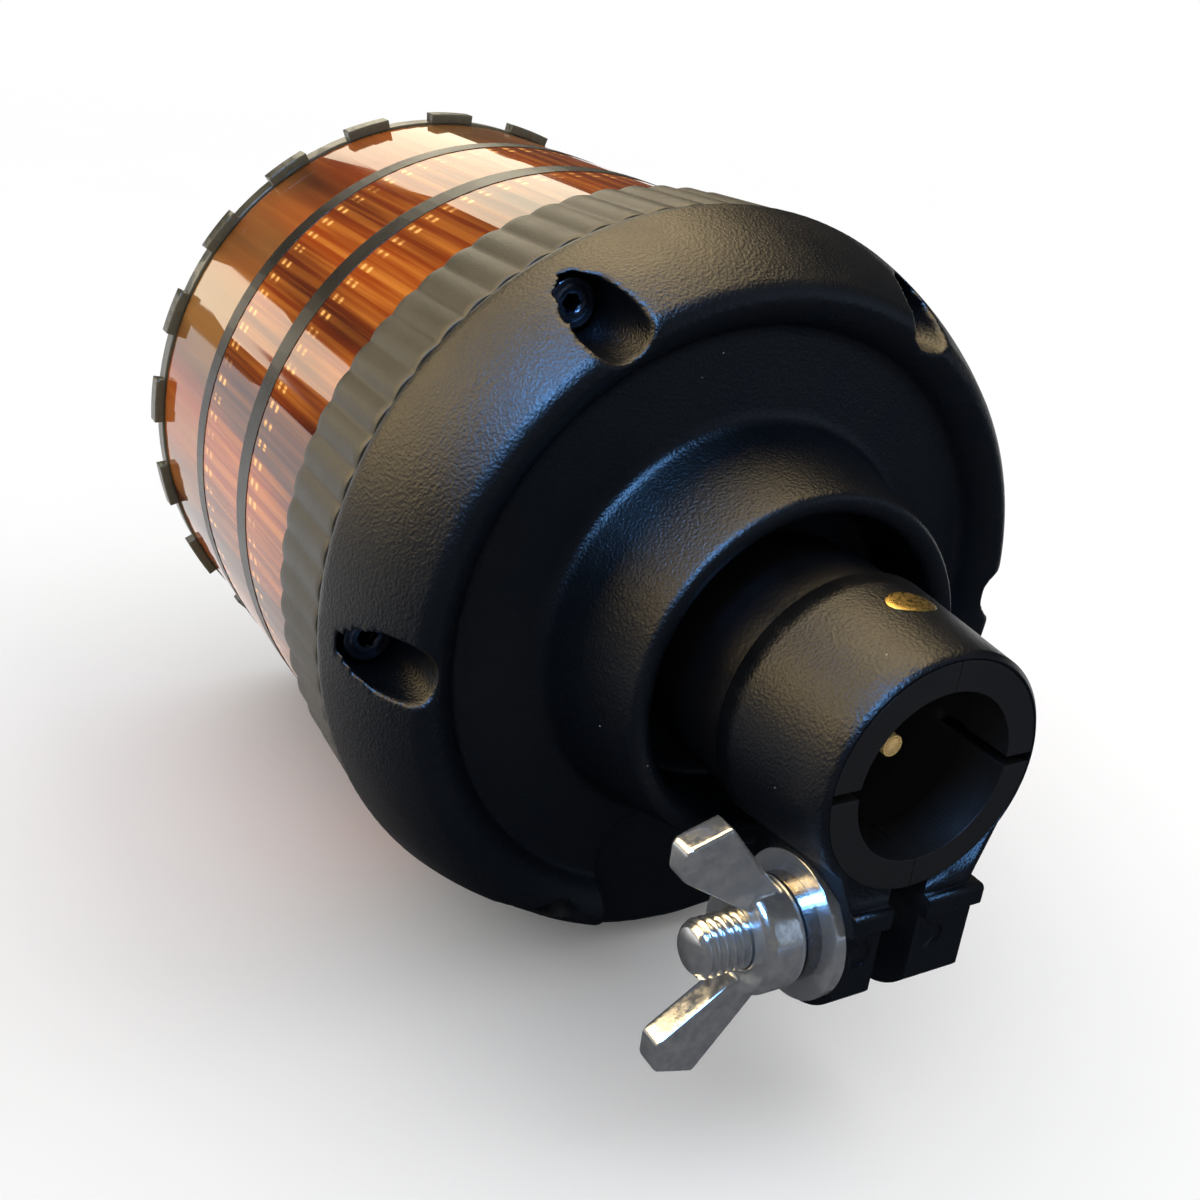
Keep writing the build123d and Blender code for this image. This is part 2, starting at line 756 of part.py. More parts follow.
def lobed_outline(count, crest, valley, height):
    """Closed outline of equal lobes that meet in sharp valleys."""
    lobe = 360.0 / count
    arcs = []
    for angle in angles(count):
        start = Vector(valley, 0, height).rotate(Axis.Z, angle)
        middle = Vector(crest, 0, height).rotate(Axis.Z, angle + lobe / 2)
        end = Vector(valley, 0, height).rotate(Axis.Z, angle + lobe)
        arcs.append(ThreePointArc(start, middle, end))
    return make_face(Wire(arcs))


def collar_ring():
    """Ring of convex ribs with screw bosses below and the lens's bayonet seat above."""
    foot = lobed_outline(collar_rib_count, collar_foot_crest, collar_foot_valley, collar_foot_height)
    top = lobed_outline(collar_rib_count, collar_top_crest, collar_top_valley, collar_top_height)
    skin = loft([foot, top], ruled=True)
    void = rod(collar_bore_radius, collar_foot_height, collar_ledge_height)
    boss = rod(screw_boss_radius, collar_foot_height, collar_ledge_height, pocket_circle_radius)
    for column in turned_copies(boss, pocket_count, pocket_first_angle):
        void -= column
    void -= ring(collar_ledge_inner_radius, collar_top_crest,
                 collar_ledge_height - collar_ledge_thickness, collar_ledge_height)
    body = skin - void
    groove_radius = lens_skirt_radius + bayonet_reach + lens_skirt_clearance
    groove_top = collar_top_height - bayonet_lip_thickness
    body -= rod(groove_radius, collar_ledge_height, groove_top)
    body -= rod(lens_skirt_radius + lens_skirt_clearance, groove_top, collar_top_height)
    body -= rod(collar_ledge_inner_radius, collar_ledge_height - collar_ledge_thickness, collar_ledge_height)
    slot = sector(groove_radius, groove_top, collar_top_height, bayonet_arc + bayonet_slot_extra)
    for cut in turned_copies(slot, bayonet_count, bayonet_turn):
        body -= cut
    hole = rod(base_screw_radius, collar_foot_height, base_screw_tip, pocket_circle_radius)
    for cut in turned_copies(hole, pocket_count, pocket_first_angle):
        body -= cut
    return body


def sector(radius, low, high, arc):
    """Wedge of a disc centred on +X."""
    reach = 2 * radius
    half = math.radians(arc / 2)
    left = (reach * math.cos(half), reach * math.sin(half))
    right = (left[0], -left[1])
    wedge = extrude(make_face(Polyline((0, 0), right, left, close=True)), high - low)
    return rod(radius, low, high) & (Pos(0, 0, low) * wedge)


def lens_gasket():
    """Gasket on the collar ring's ledge under the lens."""
    return ring(lens_bore_radius - lens_seat_gap, lens_skirt_radius, collar_ledge_height, lens_foot_height)


# Lens, bands and cap

def lens():
    """Amber lens: closed cylinder, fluted inside, with a bayonet skirt, band grooves and a cap spigot."""
    shell = rod(lens_radius, collar_top_height + lens_seat_gap, lens_top_height)
    shell += rod(lens_skirt_radius, lens_foot_height, collar_top_height + lens_seat_gap)
    lug_radius = lens_skirt_radius + bayonet_reach
    lug_top = collar_top_height - bayonet_lip_thickness - part_seat_gap
    lug = sector(lug_radius, lug_top - bayonet_height, lug_top, bayonet_arc)
    for catch in turned_copies(lug, bayonet_count):
        shell += catch
    flute_bottom = collar_top_height - flute_overlap
    flute_top = upper_band_bottom + flute_overlap
    shell -= rod(lens_bore_radius, lens_foot_height, flute_bottom)
    outline = lobed_outline(flute_count, lens_bore_radius - flute_depth, lens_bore_radius, flute_bottom)
    shell -= extrude(outline, flute_top - flute_bottom)
    shell -= rod(lens_bore_radius, flute_top, lens_top_height - lens_wall)
    for low, high in ((lower_band_bottom, lower_band_top), (upper_band_bottom, upper_band_top)):
        shell -= ring(lens_radius - band_depth, 2 * lens_radius, low, high)
    spigot_top = lens_top_height + spigot_height
    shell += ring(spigot_radius - spigot_wall, spigot_radius, lens_top_height, spigot_top)
    return shell


def lens_band(low, high):
    """Dark band seated in a groove of the lens."""
    return ring(lens_radius - band_depth, lens_radius + band_proud, low, high)


def cap_lug():
    """One lug on the cap's rim."""
    low = cap_bottom - cap_lug_drop
    high = low + cap_lug_height
    lug = sector(cap_radius + cap_lug_reach, low, high, cap_lug_angle)
    lug -= rod(lens_radius + lens_seat_gap, low, cap_bottom)
    return lug - rod(cap_radius - cap_lug_reach, cap_bottom, high)


def top_cap():
    """Cap over the lens: low dome, hollow below, with lugs to turn it by."""
    side_top = cap_bottom + cap_side_height
    crown = side_top + cap_dome_height
    edge = (cap_radius - cap_edge_inset, crown - cap_edge_drop)
    outline = [
        straight((0, cap_bottom), (cap_radius, cap_bottom)),
        straight((cap_radius, cap_bottom), (cap_radius, side_top)),
        bulged((cap_radius, side_top), edge, cap_edge_bulge),
        straight(edge, (0, crown)),
        straight((0, crown), (0, cap_bottom)),
    ]
    body = revolve(make_face(Wire(outline)), Axis.Z)
    for lug in turned_copies(cap_lug(), cap_lug_count, cap_lug_phase):
        body += lug
    body -= rod(spigot_radius + cap_spigot_clearance, cap_bottom, side_top + cap_dome_height / 2 - cap_wall)
    return body


def cap_seal():
    """Seal ring between lens and cap."""
    inner = spigot_radius + cap_spigot_clearance
    return ring(inner, inner + cap_seal_width, lens_top_height, cap_bottom)


# Chassis, heat sink and boards

def chassis_plate():
    """Metal plate that carries the heat sink."""
    body = ring(chassis_hole_radius, chassis_radius, chassis_height, chassis_top)
    hole = rod(small_screw_radius, chassis_height, chassis_top, pillar_circle_radius)
    foot_hole = rod(small_screw_radius, chassis_height, chassis_top, heat_sink_screw_circle)
    for cut in turned_copies(hole, pillar_count, pillar_first_angle):
        body -= cut
    for cut in turned_copies(foot_hole, heat_sink_screw_count, pillar_first_angle / 2):
        body -= cut
    return body


def chassis_spacers():
    """Spacers between driver board and chassis plate."""
    post = rod(spacer_radius, driver_board_top, chassis_height, pillar_circle_radius)
    post -= rod(small_screw_radius, driver_board_top, chassis_height, pillar_circle_radius)
    return turned_copies(post, pillar_count, pillar_first_angle)


def chassis_screws():
    """Long screws through chassis plate, spacers and driver board into the pillars."""
    screw = small_screw(pillar_circle_radius, chassis_top, chassis_screw_length)
    return turned_copies(screw, pillar_count, pillar_first_angle)


def heat_sink():
    """Six sided column with a round foot, and fins round the open middle."""
    corner_radius = heat_sink_flats / math.sqrt(3)
    column = Pos(0, 0, foot_top) * extrude(RegularPolygon(corner_radius, 6), heat_sink_top - foot_top)
    body = rod(heat_sink_foot_radius, chassis_top, foot_top) + column
    bore = rod(heat_sink_bore_radius, chassis_top, heat_sink_top)
    half = heat_sink_fin_thickness / 2
    fin = block(heat_sink_bore_radius - heat_sink_fin_reach, heat_sink_flats, -half, half,
                chassis_top, heat_sink_top)
    for blade in turned_copies(fin, heat_sink_fin_count):
        bore -= blade
    body -= bore
    hole = rod(small_screw_radius, chassis_top, foot_top, heat_sink_screw_circle)
    for cut in turned_copies(hole, heat_sink_screw_count, pillar_first_angle / 2):
        body -= cut
    return body


def heat_sink_screws():
    """Screws through the heat sink's foot."""
    screw = small_screw(heat_sink_screw_circle, foot_top, heat_sink_screw_length)
    return turned_copies(screw, heat_sink_screw_count, pillar_first_angle / 2)


def led_board(index):
    """Long board on one face of the heat sink."""
    low = foot_top + small_screw_head_height + led_board_margin
    high = heat_sink_top - led_board_margin
    half = led_board_width / 2
    board = block(heat_sink_apothem, heat_sink_apothem + board_thickness, -half, half, low, high)
    return Rot(0, 0, led_face_angle(index)) * board


def led_face_angle(index):
    """Direction that one face of the heat sink looks in."""
    return 30.0 + 60.0 * index


def led_row(height):
    """Two LEDs on each board at one height, one solid each."""
    face = heat_sink_apothem + board_thickness
    leds = []
    for index in range(6):
        for offset in (-led_pitch / 2, led_pitch / 2):
            body = block(face, face + led_height, offset - led_size / 2, offset + led_size / 2,
                         height - led_size / 2, height + led_size / 2)
            window = Cylinder(led_window_radius, led_window_height,
                              align=(Align.CENTER, Align.CENTER, Align.MIN))
            body += Pos(face + led_height, offset, height) * Rot(0, 90, 0) * window
            leds.append(Rot(0, 0, led_face_angle(index)) * body)
    return leds


def driver_board():
    """Round board about the seat plate's hub."""
    inner = seat_hub_radius + driver_board_hole_clearance
    body = ring(inner, driver_board_radius, driver_board_height, driver_board_top)
    hole = rod(small_screw_radius, driver_board_height, driver_board_top, pillar_circle_radius)
    for cut in turned_copies(hole, pillar_count, pillar_first_angle):
        body -= cut
    return body


def capacitors():
    """Three can capacitors on their square feet."""
    half = capacitor_base / 2
    foot_height = capacitor_height / 5
    top = driver_board_top + capacitor_height
    can = rod(capacitor_radius, driver_board_top, top, capacitor_circle_radius)
    can += block(capacitor_circle_radius - half, capacitor_circle_radius + half, -half, half,
                 driver_board_top, driver_board_top + foot_height)
    return [Rot(0, 0, angle) * can for angle in capacitor_angles]


def inductor():
    """Shielded power inductor with rounded corners."""
    plan = Pos(0, capacitor_circle_radius) * RectangleRounded(inductor_size, inductor_size, inductor_size / 6)
    return Pos(0, 0, driver_board_top) * extrude(plan, inductor_height)


def driver_chips():
    """Two control chips."""
    chips = []
    for angle in chip_angles:
        chip = block(capacitor_circle_radius - chip_width / 2, capacitor_circle_radius + chip_width / 2,
                     -chip_length / 2, chip_length / 2, driver_board_top, driver_board_top + chip_height)
        chips.append(Rot(0, 0, angle) * chip)
    return chips


def terminal_block():
    """Three way terminal block for the leads."""
    x_low = capacitor_circle_radius - terminal_width / 2
    top = driver_board_top + terminal_height
    opening_low = driver_board_top + terminal_floor
    body = block(x_low, x_low + terminal_width, -terminal_length / 2, terminal_length / 2,
                 driver_board_top, top)
    for step in (-1, 0, 1):
        middle = step * terminal_length / 3
        body -= block(x_low, x_low + terminal_width / 2, middle - terminal_cut / 2,
                      middle + terminal_cut / 2, opening_low, opening_low + terminal_cut)
        body -= rod(terminal_cut / 2, top - terminal_floor, top, x_low + terminal_width / 2, middle)
    return body


def as_group(solids):
    """Several separate solids as one group."""
    return Compound(children=[Compound(solid.solids()).solids()[0] for solid in solids])


middle_zone = (lower_band_top + upper_band_bottom) / 2
lower_zone = (collar_top_height + lower_band_bottom) / 2
upper_zone = (upper_band_top + lens_top_height - lens_wall) / 2

pieces = {
    "clamp_socket": clamp_socket(),
    "liner_half_left": liner_half(-1),
    "liner_half_right": liner_half(1),
    "earth_contact": earth_contact(),
    "contact_carrier": contact_carrier(),
    "contact_pin": contact_pin(),
    "contact_spring": contact_spring(),
    "clamp_bolt": clamp_bolt(),
    "flat_washer": flat_washer(),
    "spring_washer": spring_washer(),
    "wing_nut": wing_nut(),
    "stem_sleeve": stem_sleeve(),
    "flex_core": flex_core(),
    "seat_plate": seat_plate(),
    "seat_screws": as_group(seat_screws()),
    "base_housing": base_housing(),
    "base_screws": as_group(base_screws()),
    "base_gasket": base_gasket(),
    "collar_ring": collar_ring(),
    "lens_gasket": lens_gasket(),
    "lens": lens(),
    "lens_band_lower": lens_band(lower_band_bottom, lower_band_top),
    "lens_band_upper": lens_band(upper_band_bottom, upper_band_top),
    "cap_seal": cap_seal(),
    "top_cap": top_cap(),
    "chassis_plate": chassis_plate(),
    "chassis_spacers": as_group(chassis_spacers()),
    "chassis_screws": as_group(chassis_screws()),
    "heat_sink": heat_sink(),
    "heat_sink_screws": as_group(heat_sink_screws()),
    "led_row_lower": as_group(led_row(lower_zone)),
    "led_row_middle": as_group(led_row(middle_zone)),
    "led_row_upper": as_group(led_row(upper_zone)),
    "driver_board": driver_board(),
    "capacitors": as_group(capacitors()),
    "inductor": inductor(),
    "driver_chips": as_group(driver_chips()),
    "terminal_block": terminal_block(),
}
for index in range(6):
    pieces[f"led_board_{index + 1}"] = led_board(index)

os.makedirs("parts", exist_ok=True)
for name, piece in pieces.items():
    export_step(piece, f"parts/{name}.step")
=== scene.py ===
"""Looks of a pole-mounted LED warning beacon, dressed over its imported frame.

The beacon stands on +Z with the socket's mouth at the origin. Lengths in the classes below are
millimetres, and mm() turns them into Blender's metres.
"""
import functools
import logging
import math
from dataclasses import dataclass, field
from enum import Enum
from typing import Sequence

import bmesh
import bpy
from mathutils import Matrix, Vector


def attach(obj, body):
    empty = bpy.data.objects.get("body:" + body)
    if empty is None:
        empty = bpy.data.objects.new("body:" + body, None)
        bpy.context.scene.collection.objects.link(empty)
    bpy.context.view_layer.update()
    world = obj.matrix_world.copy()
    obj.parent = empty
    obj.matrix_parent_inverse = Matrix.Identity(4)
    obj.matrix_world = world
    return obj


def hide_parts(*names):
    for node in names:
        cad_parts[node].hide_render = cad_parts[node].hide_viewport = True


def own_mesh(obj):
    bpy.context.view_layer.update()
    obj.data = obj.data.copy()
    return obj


LOG = logging.getLogger("beacon")
Colour = tuple[float, float, float]
Point = tuple[float, float, float]


def mm(length: float) -> float:
    """Millimetres in metres."""
    return length * 0.001


class Body(Enum):
    """The moving bodies that a piece can ride on."""

    SOCKET = "socket"
    LOCK_WASHER = "lock_washer"
    WING_NUT = "wing_nut"
    CONTACT_PIN = "contact_pin"
    FLEX_CORE = "flex_core"
    HEAD = "head"


class Wiring:
    """Adds and links the nodes of one node tree."""

    def __init__(self, tree: bpy.types.NodeTree) -> None:
        """Takes a tree and empties it.

        Args:
            tree: The node tree.
        """
        self.tree = tree
        self.tree.nodes.clear()

    def feed(self, socket: bpy.types.NodeSocket, value: object) -> None:
        """Links a socket to another one, or sets its value.

        Args:
            socket: The input.
            value: A socket or a plain value.
        """
        if isinstance(value, bpy.types.NodeSocket):
            self.tree.links.new(value, socket)
        else:
            socket.default_value = value

    def node(self, kind: str, inputs: dict | None = None, **settings: object) -> bpy.types.Node:
        """Adds a node.

        Args:
            kind: Blender's name of the node type.
            inputs: Values or sockets for its inputs, by name or number.
            **settings: Properties of the node itself.

        Returns:
            The new node.
        """
        item = self.tree.nodes.new(kind)
        for key, value in settings.items():
            setattr(item, key, value)
        for key, value in (inputs or {}).items():
            self.feed(item.inputs[key], value)
        return item

    def math(self, operation: str, *values: object) -> bpy.types.NodeSocket:
        """Result of one Math node."""
        return self.node("ShaderNodeMath", dict(enumerate(values)), operation=operation).outputs[0]


class Bench(Wiring):
    """Work bench for one material's shader tree."""

    def __init__(self, name: str) -> None:
        """Starts an empty tree with its output node.

        Args:
            name: Name of the new material.
        """
        self.material = bpy.data.materials.new(name)
        self.material.use_nodes = True
        super().__init__(self.material.node_tree)
        self.output = self.node("ShaderNodeOutputMaterial")
        self.place = self.node("ShaderNodeTexCoord").outputs["Object"]

    def noise(self, size: float, detail: float = 3.0, roughness: float = 0.5) -> bpy.types.NodeSocket:
        """Noise from 0 to 1 whose blotches are about size millimetres across."""
        values = {"Vector": self.place, "Scale": 1.0 / mm(size), "Detail": detail, "Roughness": roughness}
        return self.node("ShaderNodeTexNoise", values).outputs["Fac"]

    def cells(self, size: float, feature: str = "F1") -> bpy.types.Node:
        """Voronoi cells about size millimetres across."""
        values = {"Vector": self.place, "Scale": 1.0 / mm(size)}
        return self.node("ShaderNodeTexVoronoi", values, feature=feature)

    def remap(self, value: object, low: float, high: float, to_low: float,
              to_high: float) -> bpy.types.NodeSocket:
        """Value carried from one range to another, held at the ends."""
        values = {0: value, 1: low, 2: high, 3: to_low, 4: to_high}
        return self.node("ShaderNodeMapRange", values, clamp=True).outputs[0]

    def blend(self, share: object, first: object, second: object) -> bpy.types.NodeSocket:
        """Mix of two colours.

        Args:
            share: How much of the second colour shows, 0 to 1.
            first: Colour or socket at 0.
            second: Colour or socket at 1.

        Returns:
            The mixed colour.
        """
        item = self.node("ShaderNodeMix", {0: share}, data_type="RGBA")
        for number, colour in ((6, first), (7, second)):
            value = colour if isinstance(colour, bpy.types.NodeSocket) else (*colour, 1.0)
            self.feed(item.inputs[number], value)
        return item.outputs[2]

    def rounded(self, radius: float) -> bpy.types.NodeSocket:
        """Surface normal with every edge softened by a radius in millimetres."""
        return self.node("ShaderNodeBevel", {"Radius": mm(radius)}, samples=4).outputs["Normal"]

    def relief(self, height: object, depth: float, normal: object) -> bpy.types.NodeSocket:
        """Normal with fine relief of a depth in millimetres."""
        values = {"Height": height, "Strength": 1.0, "Distance": mm(depth), "Normal": normal}
        return self.node("ShaderNodeBump", values).outputs["Normal"]

    def worn_edge(self, normal: bpy.types.NodeSocket) -> bpy.types.NodeSocket:
        """Share from 0 on open faces to 1 on rounded edges.

        Args:
            normal: Normal with its edges rounded.

        Returns:
            The share.
        """
        flat = self.node("ShaderNodeNewGeometry").outputs["Normal"]
        likeness = self.node("ShaderNodeVectorMath", {0: normal, 1: flat}, operation="DOT_PRODUCT")
        return self.remap(likeness.outputs["Value"], 0.98, 0.8, 0.0, 1.0)

    def surface(self, **inputs: object) -> bpy.types.Material:
        """Ends the tree in a Principled surface.

        Args:
            **inputs: Its inputs, with underscores for the spaces of their names.

        Returns:
            The finished material.
        """
        named = {key.replace("_", " "): value for key, value in inputs.items()}
        item = self.node("ShaderNodeBsdfPrincipled", named)
        self.feed(self.output.inputs["Surface"], item.outputs[0])
        return self.material


@dataclass(frozen=True)
class Finish:
    """What a finish is called: the slot of the record that it paints, or a name of its own."""

    slot: str

    def build(self) -> bpy.types.Material:
        """Makes the material. Each kind of finish does it its own way."""
        raise NotImplementedError

    @functools.cache
    def material(self) -> bpy.types.Material:
        """The finish's material, made once."""
        return self.build()


@dataclass(frozen=True)
class Moulded(Finish):
    """Moulded plastic or rubber with a fine grain, soft edges and a little dust."""

    # The default colour and tint are near-black with a navy tint, which paints the bluish window sheen on the
    # black plastic.
    colour: Colour = (0.0020, 0.0038, 0.0070)
    tint: Colour = (0.0040, 0.0052, 0.0075)
    roughness: float = 0.33
    specular: float = 0.42
    gloss_index: float = 1.45
    grain: float = 0.42
    grain_depth: float = 0.07
    edge: float = 0.35
    dust: float = 0.0
    dust_colour: Colour = (0.30, 0.31, 0.33)
    speck_spacing: float = 3.2
    cloud_size: float = 9.0
    gloss_spread: float = 0.05

    def build(self) -> bpy.types.Material:
        """Grained plastic, smoother and lighter on its edges.

        Returns:
            The material.
        """
        bench = Bench(f"{self.slot}_finish")
        soft = bench.rounded(self.edge)
        wear = bench.worn_edge(soft)
        pebbles = bench.cells(self.grain, "SMOOTH_F1").outputs["Distance"]
        height = bench.math("ADD", pebbles, bench.math("MULTIPLY", bench.noise(self.grain / 3), 0.6))
        cloud = bench.noise(self.cloud_size, 4.0)
        colour = bench.blend(cloud, self.colour, self.tint)
        worn = tuple(3.0 * share + 0.01 for share in self.colour)
        colour = bench.blend(bench.math("MULTIPLY", wear, 0.35), colour, worn)
        if self.dust:
            colour = bench.blend(self.specks(bench), colour, self.dust_colour)
        rough = bench.remap(
            cloud, 0.3, 0.7, self.roughness - self.gloss_spread, self.roughness + self.gloss_spread)
        rough = bench.math("SUBTRACT", rough, bench.math("MULTIPLY", wear, 0.08))
        return bench.surface(
            Base_Color=colour, Roughness=rough, Specular_IOR_Level=self.specular, IOR=self.gloss_index,
            Normal=bench.relief(height, self.grain_depth, soft))

    def specks(self, bench: Bench) -> bpy.types.NodeSocket:
        """Share that is 1 on sparse specks of dust.

        Args:
            bench: The material's work bench.

        Returns:
            The share.
        """
        cells = bench.cells(self.speck_spacing)
        near = bench.remap(cells.outputs["Distance"], 0.03, 0.05, 1.0, 0.0)
        red = bench.node("ShaderNodeSeparateColor", {0: cells.outputs["Color"]}).outputs[0]
        return bench.math("MULTIPLY", near, bench.math("LESS_THAN", red, self.dust))


@dataclass(frozen=True)
class Metal(Finish):
    """Bare or plated metal with mottled gloss."""

    colour: Colour = (0.70, 0.71, 0.72)
    tint: Colour = (0.55, 0.56, 0.58)
    smooth: float = 0.14
    rough: float = 0.38
    mottle: float = 1.6
    pits: float = 0.02
    edge: float = 0.25
    metallic: float = 1.0

    def build(self) -> bpy.types.Material:
        """Metal whose gloss changes in blotches, bright on its edges.

        Returns:
            The material.
        """
        bench = Bench(f"{self.slot}_finish")
        soft = bench.rounded(self.edge)
        wear = bench.worn_edge(soft)
        blotch = bench.noise(self.mottle, 5.0, 0.6)
        colour = bench.blend(bench.remap(blotch, 0.35, 0.65, 0.0, 1.0), self.colour, self.tint)
        worn = tuple(min(1.0, share * 1.2) for share in self.colour)
        colour = bench.blend(bench.math("MULTIPLY", wear, 0.5), colour, worn)
        rough = bench.remap(blotch, 0.35, 0.65, self.smooth, self.rough)
        height = bench.math("ADD", bench.noise(self.mottle / 3, 4.0), bench.math("MULTIPLY", blotch, 0.5))
        return bench.surface(
            Base_Color=colour, Metallic=self.metallic, Roughness=rough,
            Normal=bench.relief(height, self.pits, soft))


@dataclass(frozen=True)
class AmberLens(Finish):
    """Amber plastic with painted light and shade streaked along the axis where its inner flutes run, and
    smoother near the cap.
    """

    # The dark, middle and bright colours paint the light and shade seen through the fluted lens over its
    # amber.
    dark: Colour = (0.085, 0.012, 0.002)
    middle: Colour = (0.55, 0.085, 0.004)
    bright: Colour = (1.0, 0.33, 0.04)
    # The pale colour paints reflections of a pale room.
    pale: Colour = (0.55, 0.27, 0.07)
    # The bead colours and glow paint glints that glow at the prism rows.
    bead: Colour = (1.0, 0.55, 0.16)
    painted_glint_light: Colour = (1.0, 0.36, 0.06)
    painted_glint_glow: float = 0.5
    painted_glint_heights: tuple[float, ...] = (102.6, 100.2, 127.4, 125.0)
    painted_glint_half_height: float = 0.25
    painted_glint_fade: float = 0.5
    roughness: float = 0.05
    gloss_index: float = 1.75
    clearness: float = 0.12
    flutes: int = 108
    flute_depth: float = 0.004
    fluted_top: float = 130.5
    fine_streaks: tuple[float, float] = (60.0, 18.0)
    coarse_streaks: tuple[float, float] = (3.6, 9.0)
    painted_reflection_streaks: tuple[float, float] = (2.4, 6.0)

    def build(self) -> bpy.types.Material:
        """Glossy amber with painted light and shade in streaks along the axis, painted reflections near the
        cap and painted glints that glow at the prism rows.

        Returns:
            The material.
        """
        bench = Bench(f"{self.slot}_finish")
        axes = bench.node("ShaderNodeSeparateXYZ", {0: bench.place}).outputs
        turn = bench.math("ARCTAN2", axes["Y"], axes["X"])
        smooth = bench.remap(axes["Z"], mm(self.fluted_top - 1.0), mm(self.fluted_top + 1.0), 0.0, 1.0)
        flute = bench.math("COSINE", bench.math("MULTIPLY", turn, float(self.flutes)))
        fine = self.streaks(bench, turn, axes["Z"], self.fine_streaks)
        coarse = self.streaks(bench, turn, axes["Z"], self.coarse_streaks)
        # Painted highlights: bright lines along the flutes.
        flute_highlight = bench.math("ADD", bench.remap(fine, 0.38, 0.66, 0.0, 0.75), bench.math("MULTIPLY", flute, 0.28))
        flute_highlight = bench.math("MULTIPLY", flute_highlight, bench.remap(smooth, 0.0, 1.0, 1.0, 0.25))
        painted_light_zone = bench.remap(coarse, 0.40, 0.60, 0.0, 1.0)
        # Painted light and shade: streaks of dark and middle amber, with the painted highlights laid over
        # them.
        colour = bench.blend(bench.math("MULTIPLY", painted_light_zone, 0.85), self.dark, self.middle)
        painted_highlight_share = bench.math("MULTIPLY", flute_highlight, bench.remap(painted_light_zone, 0.0, 1.0, 0.22, 0.75))
        colour = bench.blend(painted_highlight_share, colour, self.bright)
        # Painted reflections: pale patches near the cap.
        painted_light_patch = bench.remap(self.streaks(bench, turn, axes["Z"], self.painted_reflection_streaks), 0.42, 0.60, 0.0, 0.65)
        colour = bench.blend(bench.math("MULTIPLY", painted_light_patch, smooth), colour, self.pale)
        # Painted glints at the prism rows, in colour and in glow.
        bead = bench.math("MULTIPLY", self.painted_glint_share(bench, axes["Z"]), bench.remap(flute, 0.2, 0.8, 0.0, 1.0))
        bead = bench.math("MULTIPLY", bead, bench.remap(fine, 0.42, 0.56, 0.15, 1.0))
        colour = bench.blend(bead, colour, self.bead)
        height = bench.math("MULTIPLY", flute, bench.remap(smooth, 0.0, 1.0, 1.0, 0.0))
        # The emission is the painted glow of the glints.
        return bench.surface(
            Base_Color=colour, Roughness=self.roughness, IOR=self.gloss_index,
            Transmission_Weight=self.clearness, Emission_Color=(*self.painted_glint_light, 1.0),
            Emission_Strength=bench.math("MULTIPLY", bead, self.painted_glint_glow),
            Normal=bench.relief(height, self.flute_depth, bench.rounded(0.2)))

    def painted_glint_share(self, bench: Bench, height: bpy.types.NodeSocket) -> bpy.types.NodeSocket:
        """Share that is 1 at the heights of the painted glints of the prisms.

        Args:
            bench: The material's work bench.
            height: Height above the socket's mouth, in metres.

        Returns:
            The share.
        """
        total = 0.0
        for row in self.painted_glint_heights:
            away = bench.math("ABSOLUTE", bench.math("SUBTRACT", height, mm(row)))
            total = bench.math("ADD", total, bench.remap(
                away, mm(self.painted_glint_half_height), mm(self.painted_glint_half_height + self.painted_glint_fade), 1.0, 0.0))
        return total

    def streaks(self, bench: Bench, turn: bpy.types.NodeSocket, height: bpy.types.NodeSocket,
                density: tuple[float, float]) -> bpy.types.NodeSocket:
        """Noise drawn out along the axis.

        Args:
            bench: The material's work bench.
            turn: Angle round the axis.
            height: Height above the socket's mouth, in metres.
            density: Streaks per radian and per metre.

        Returns:
            The noise, from 0 to 1.
        """
        per_radian, per_metre = density
        place = bench.node("ShaderNodeCombineXYZ", {
            "X": bench.math("MULTIPLY", turn, per_radian),
            "Z": bench.math("MULTIPLY", height, per_metre)}).outputs[0]
        values = {"Vector": place, "Scale": 1.0, "Detail": 2.0, "Roughness": 0.5}
        return bench.node("ShaderNodeTexNoise", values).outputs["Fac"]


@dataclass(frozen=True)
class PaintedGlintPrism(Finish):
    """Prisms with painted glints, shown as bright orange points that glow."""

    # The colour and glow paint glints; the dim colour is the prism between them.
    colour: Colour = (1.0, 0.42, 0.06)
    dim: Colour = (0.30, 0.05, 0.01)
    glow: float = 0.35

    def build(self) -> bpy.types.Material:
        """Glossy orange with painted glints, brighter and glowing in patches along the row.

        Returns:
            The material.
        """
        bench = Bench(f"{self.slot}_finish")
        # Painted glints: brighter, glowing patches along the row.
        painted_light_patch = bench.remap(bench.noise(9.0, 2.0), 0.40, 0.62, 0.15, 1.0)
        return bench.surface(
            Base_Color=bench.blend(painted_light_patch, self.dim, self.colour), Roughness=0.15,
            Emission_Color=(*self.colour, 1.0), Emission_Strength=bench.math("MULTIPLY", painted_light_patch, self.glow),
            Normal=bench.rounded(0.1))


@dataclass(frozen=True)
class Laminate(Finish):
    """Circuit board with copper tracks under its lacquer."""

    colour: Colour = (0.02, 0.10, 0.05)
    track: Colour = (0.05, 0.20, 0.09)
    gloss: float = 0.3
    track_size: float = 6.0

    def build(self) -> bpy.types.Material:
        """Lacquered board with a squared pattern of tracks.

        Returns:
            The material.
        """
        bench = Bench(f"{self.slot}_finish")
        tracks = bench.node("ShaderNodeTexBrick", {"Vector": bench.place, "Scale": 1.0 / mm(self.track_size)})
        share = bench.remap(tracks.outputs["Fac"], 0.3, 0.7, 0.0, 1.0)
        height = bench.math("ADD", share, bench.noise(0.8))
        return bench.surface(
            Base_Color=bench.blend(share, self.colour, self.track), Roughness=self.gloss,
            Normal=bench.relief(height, 0.03, bench.rounded(0.15)))


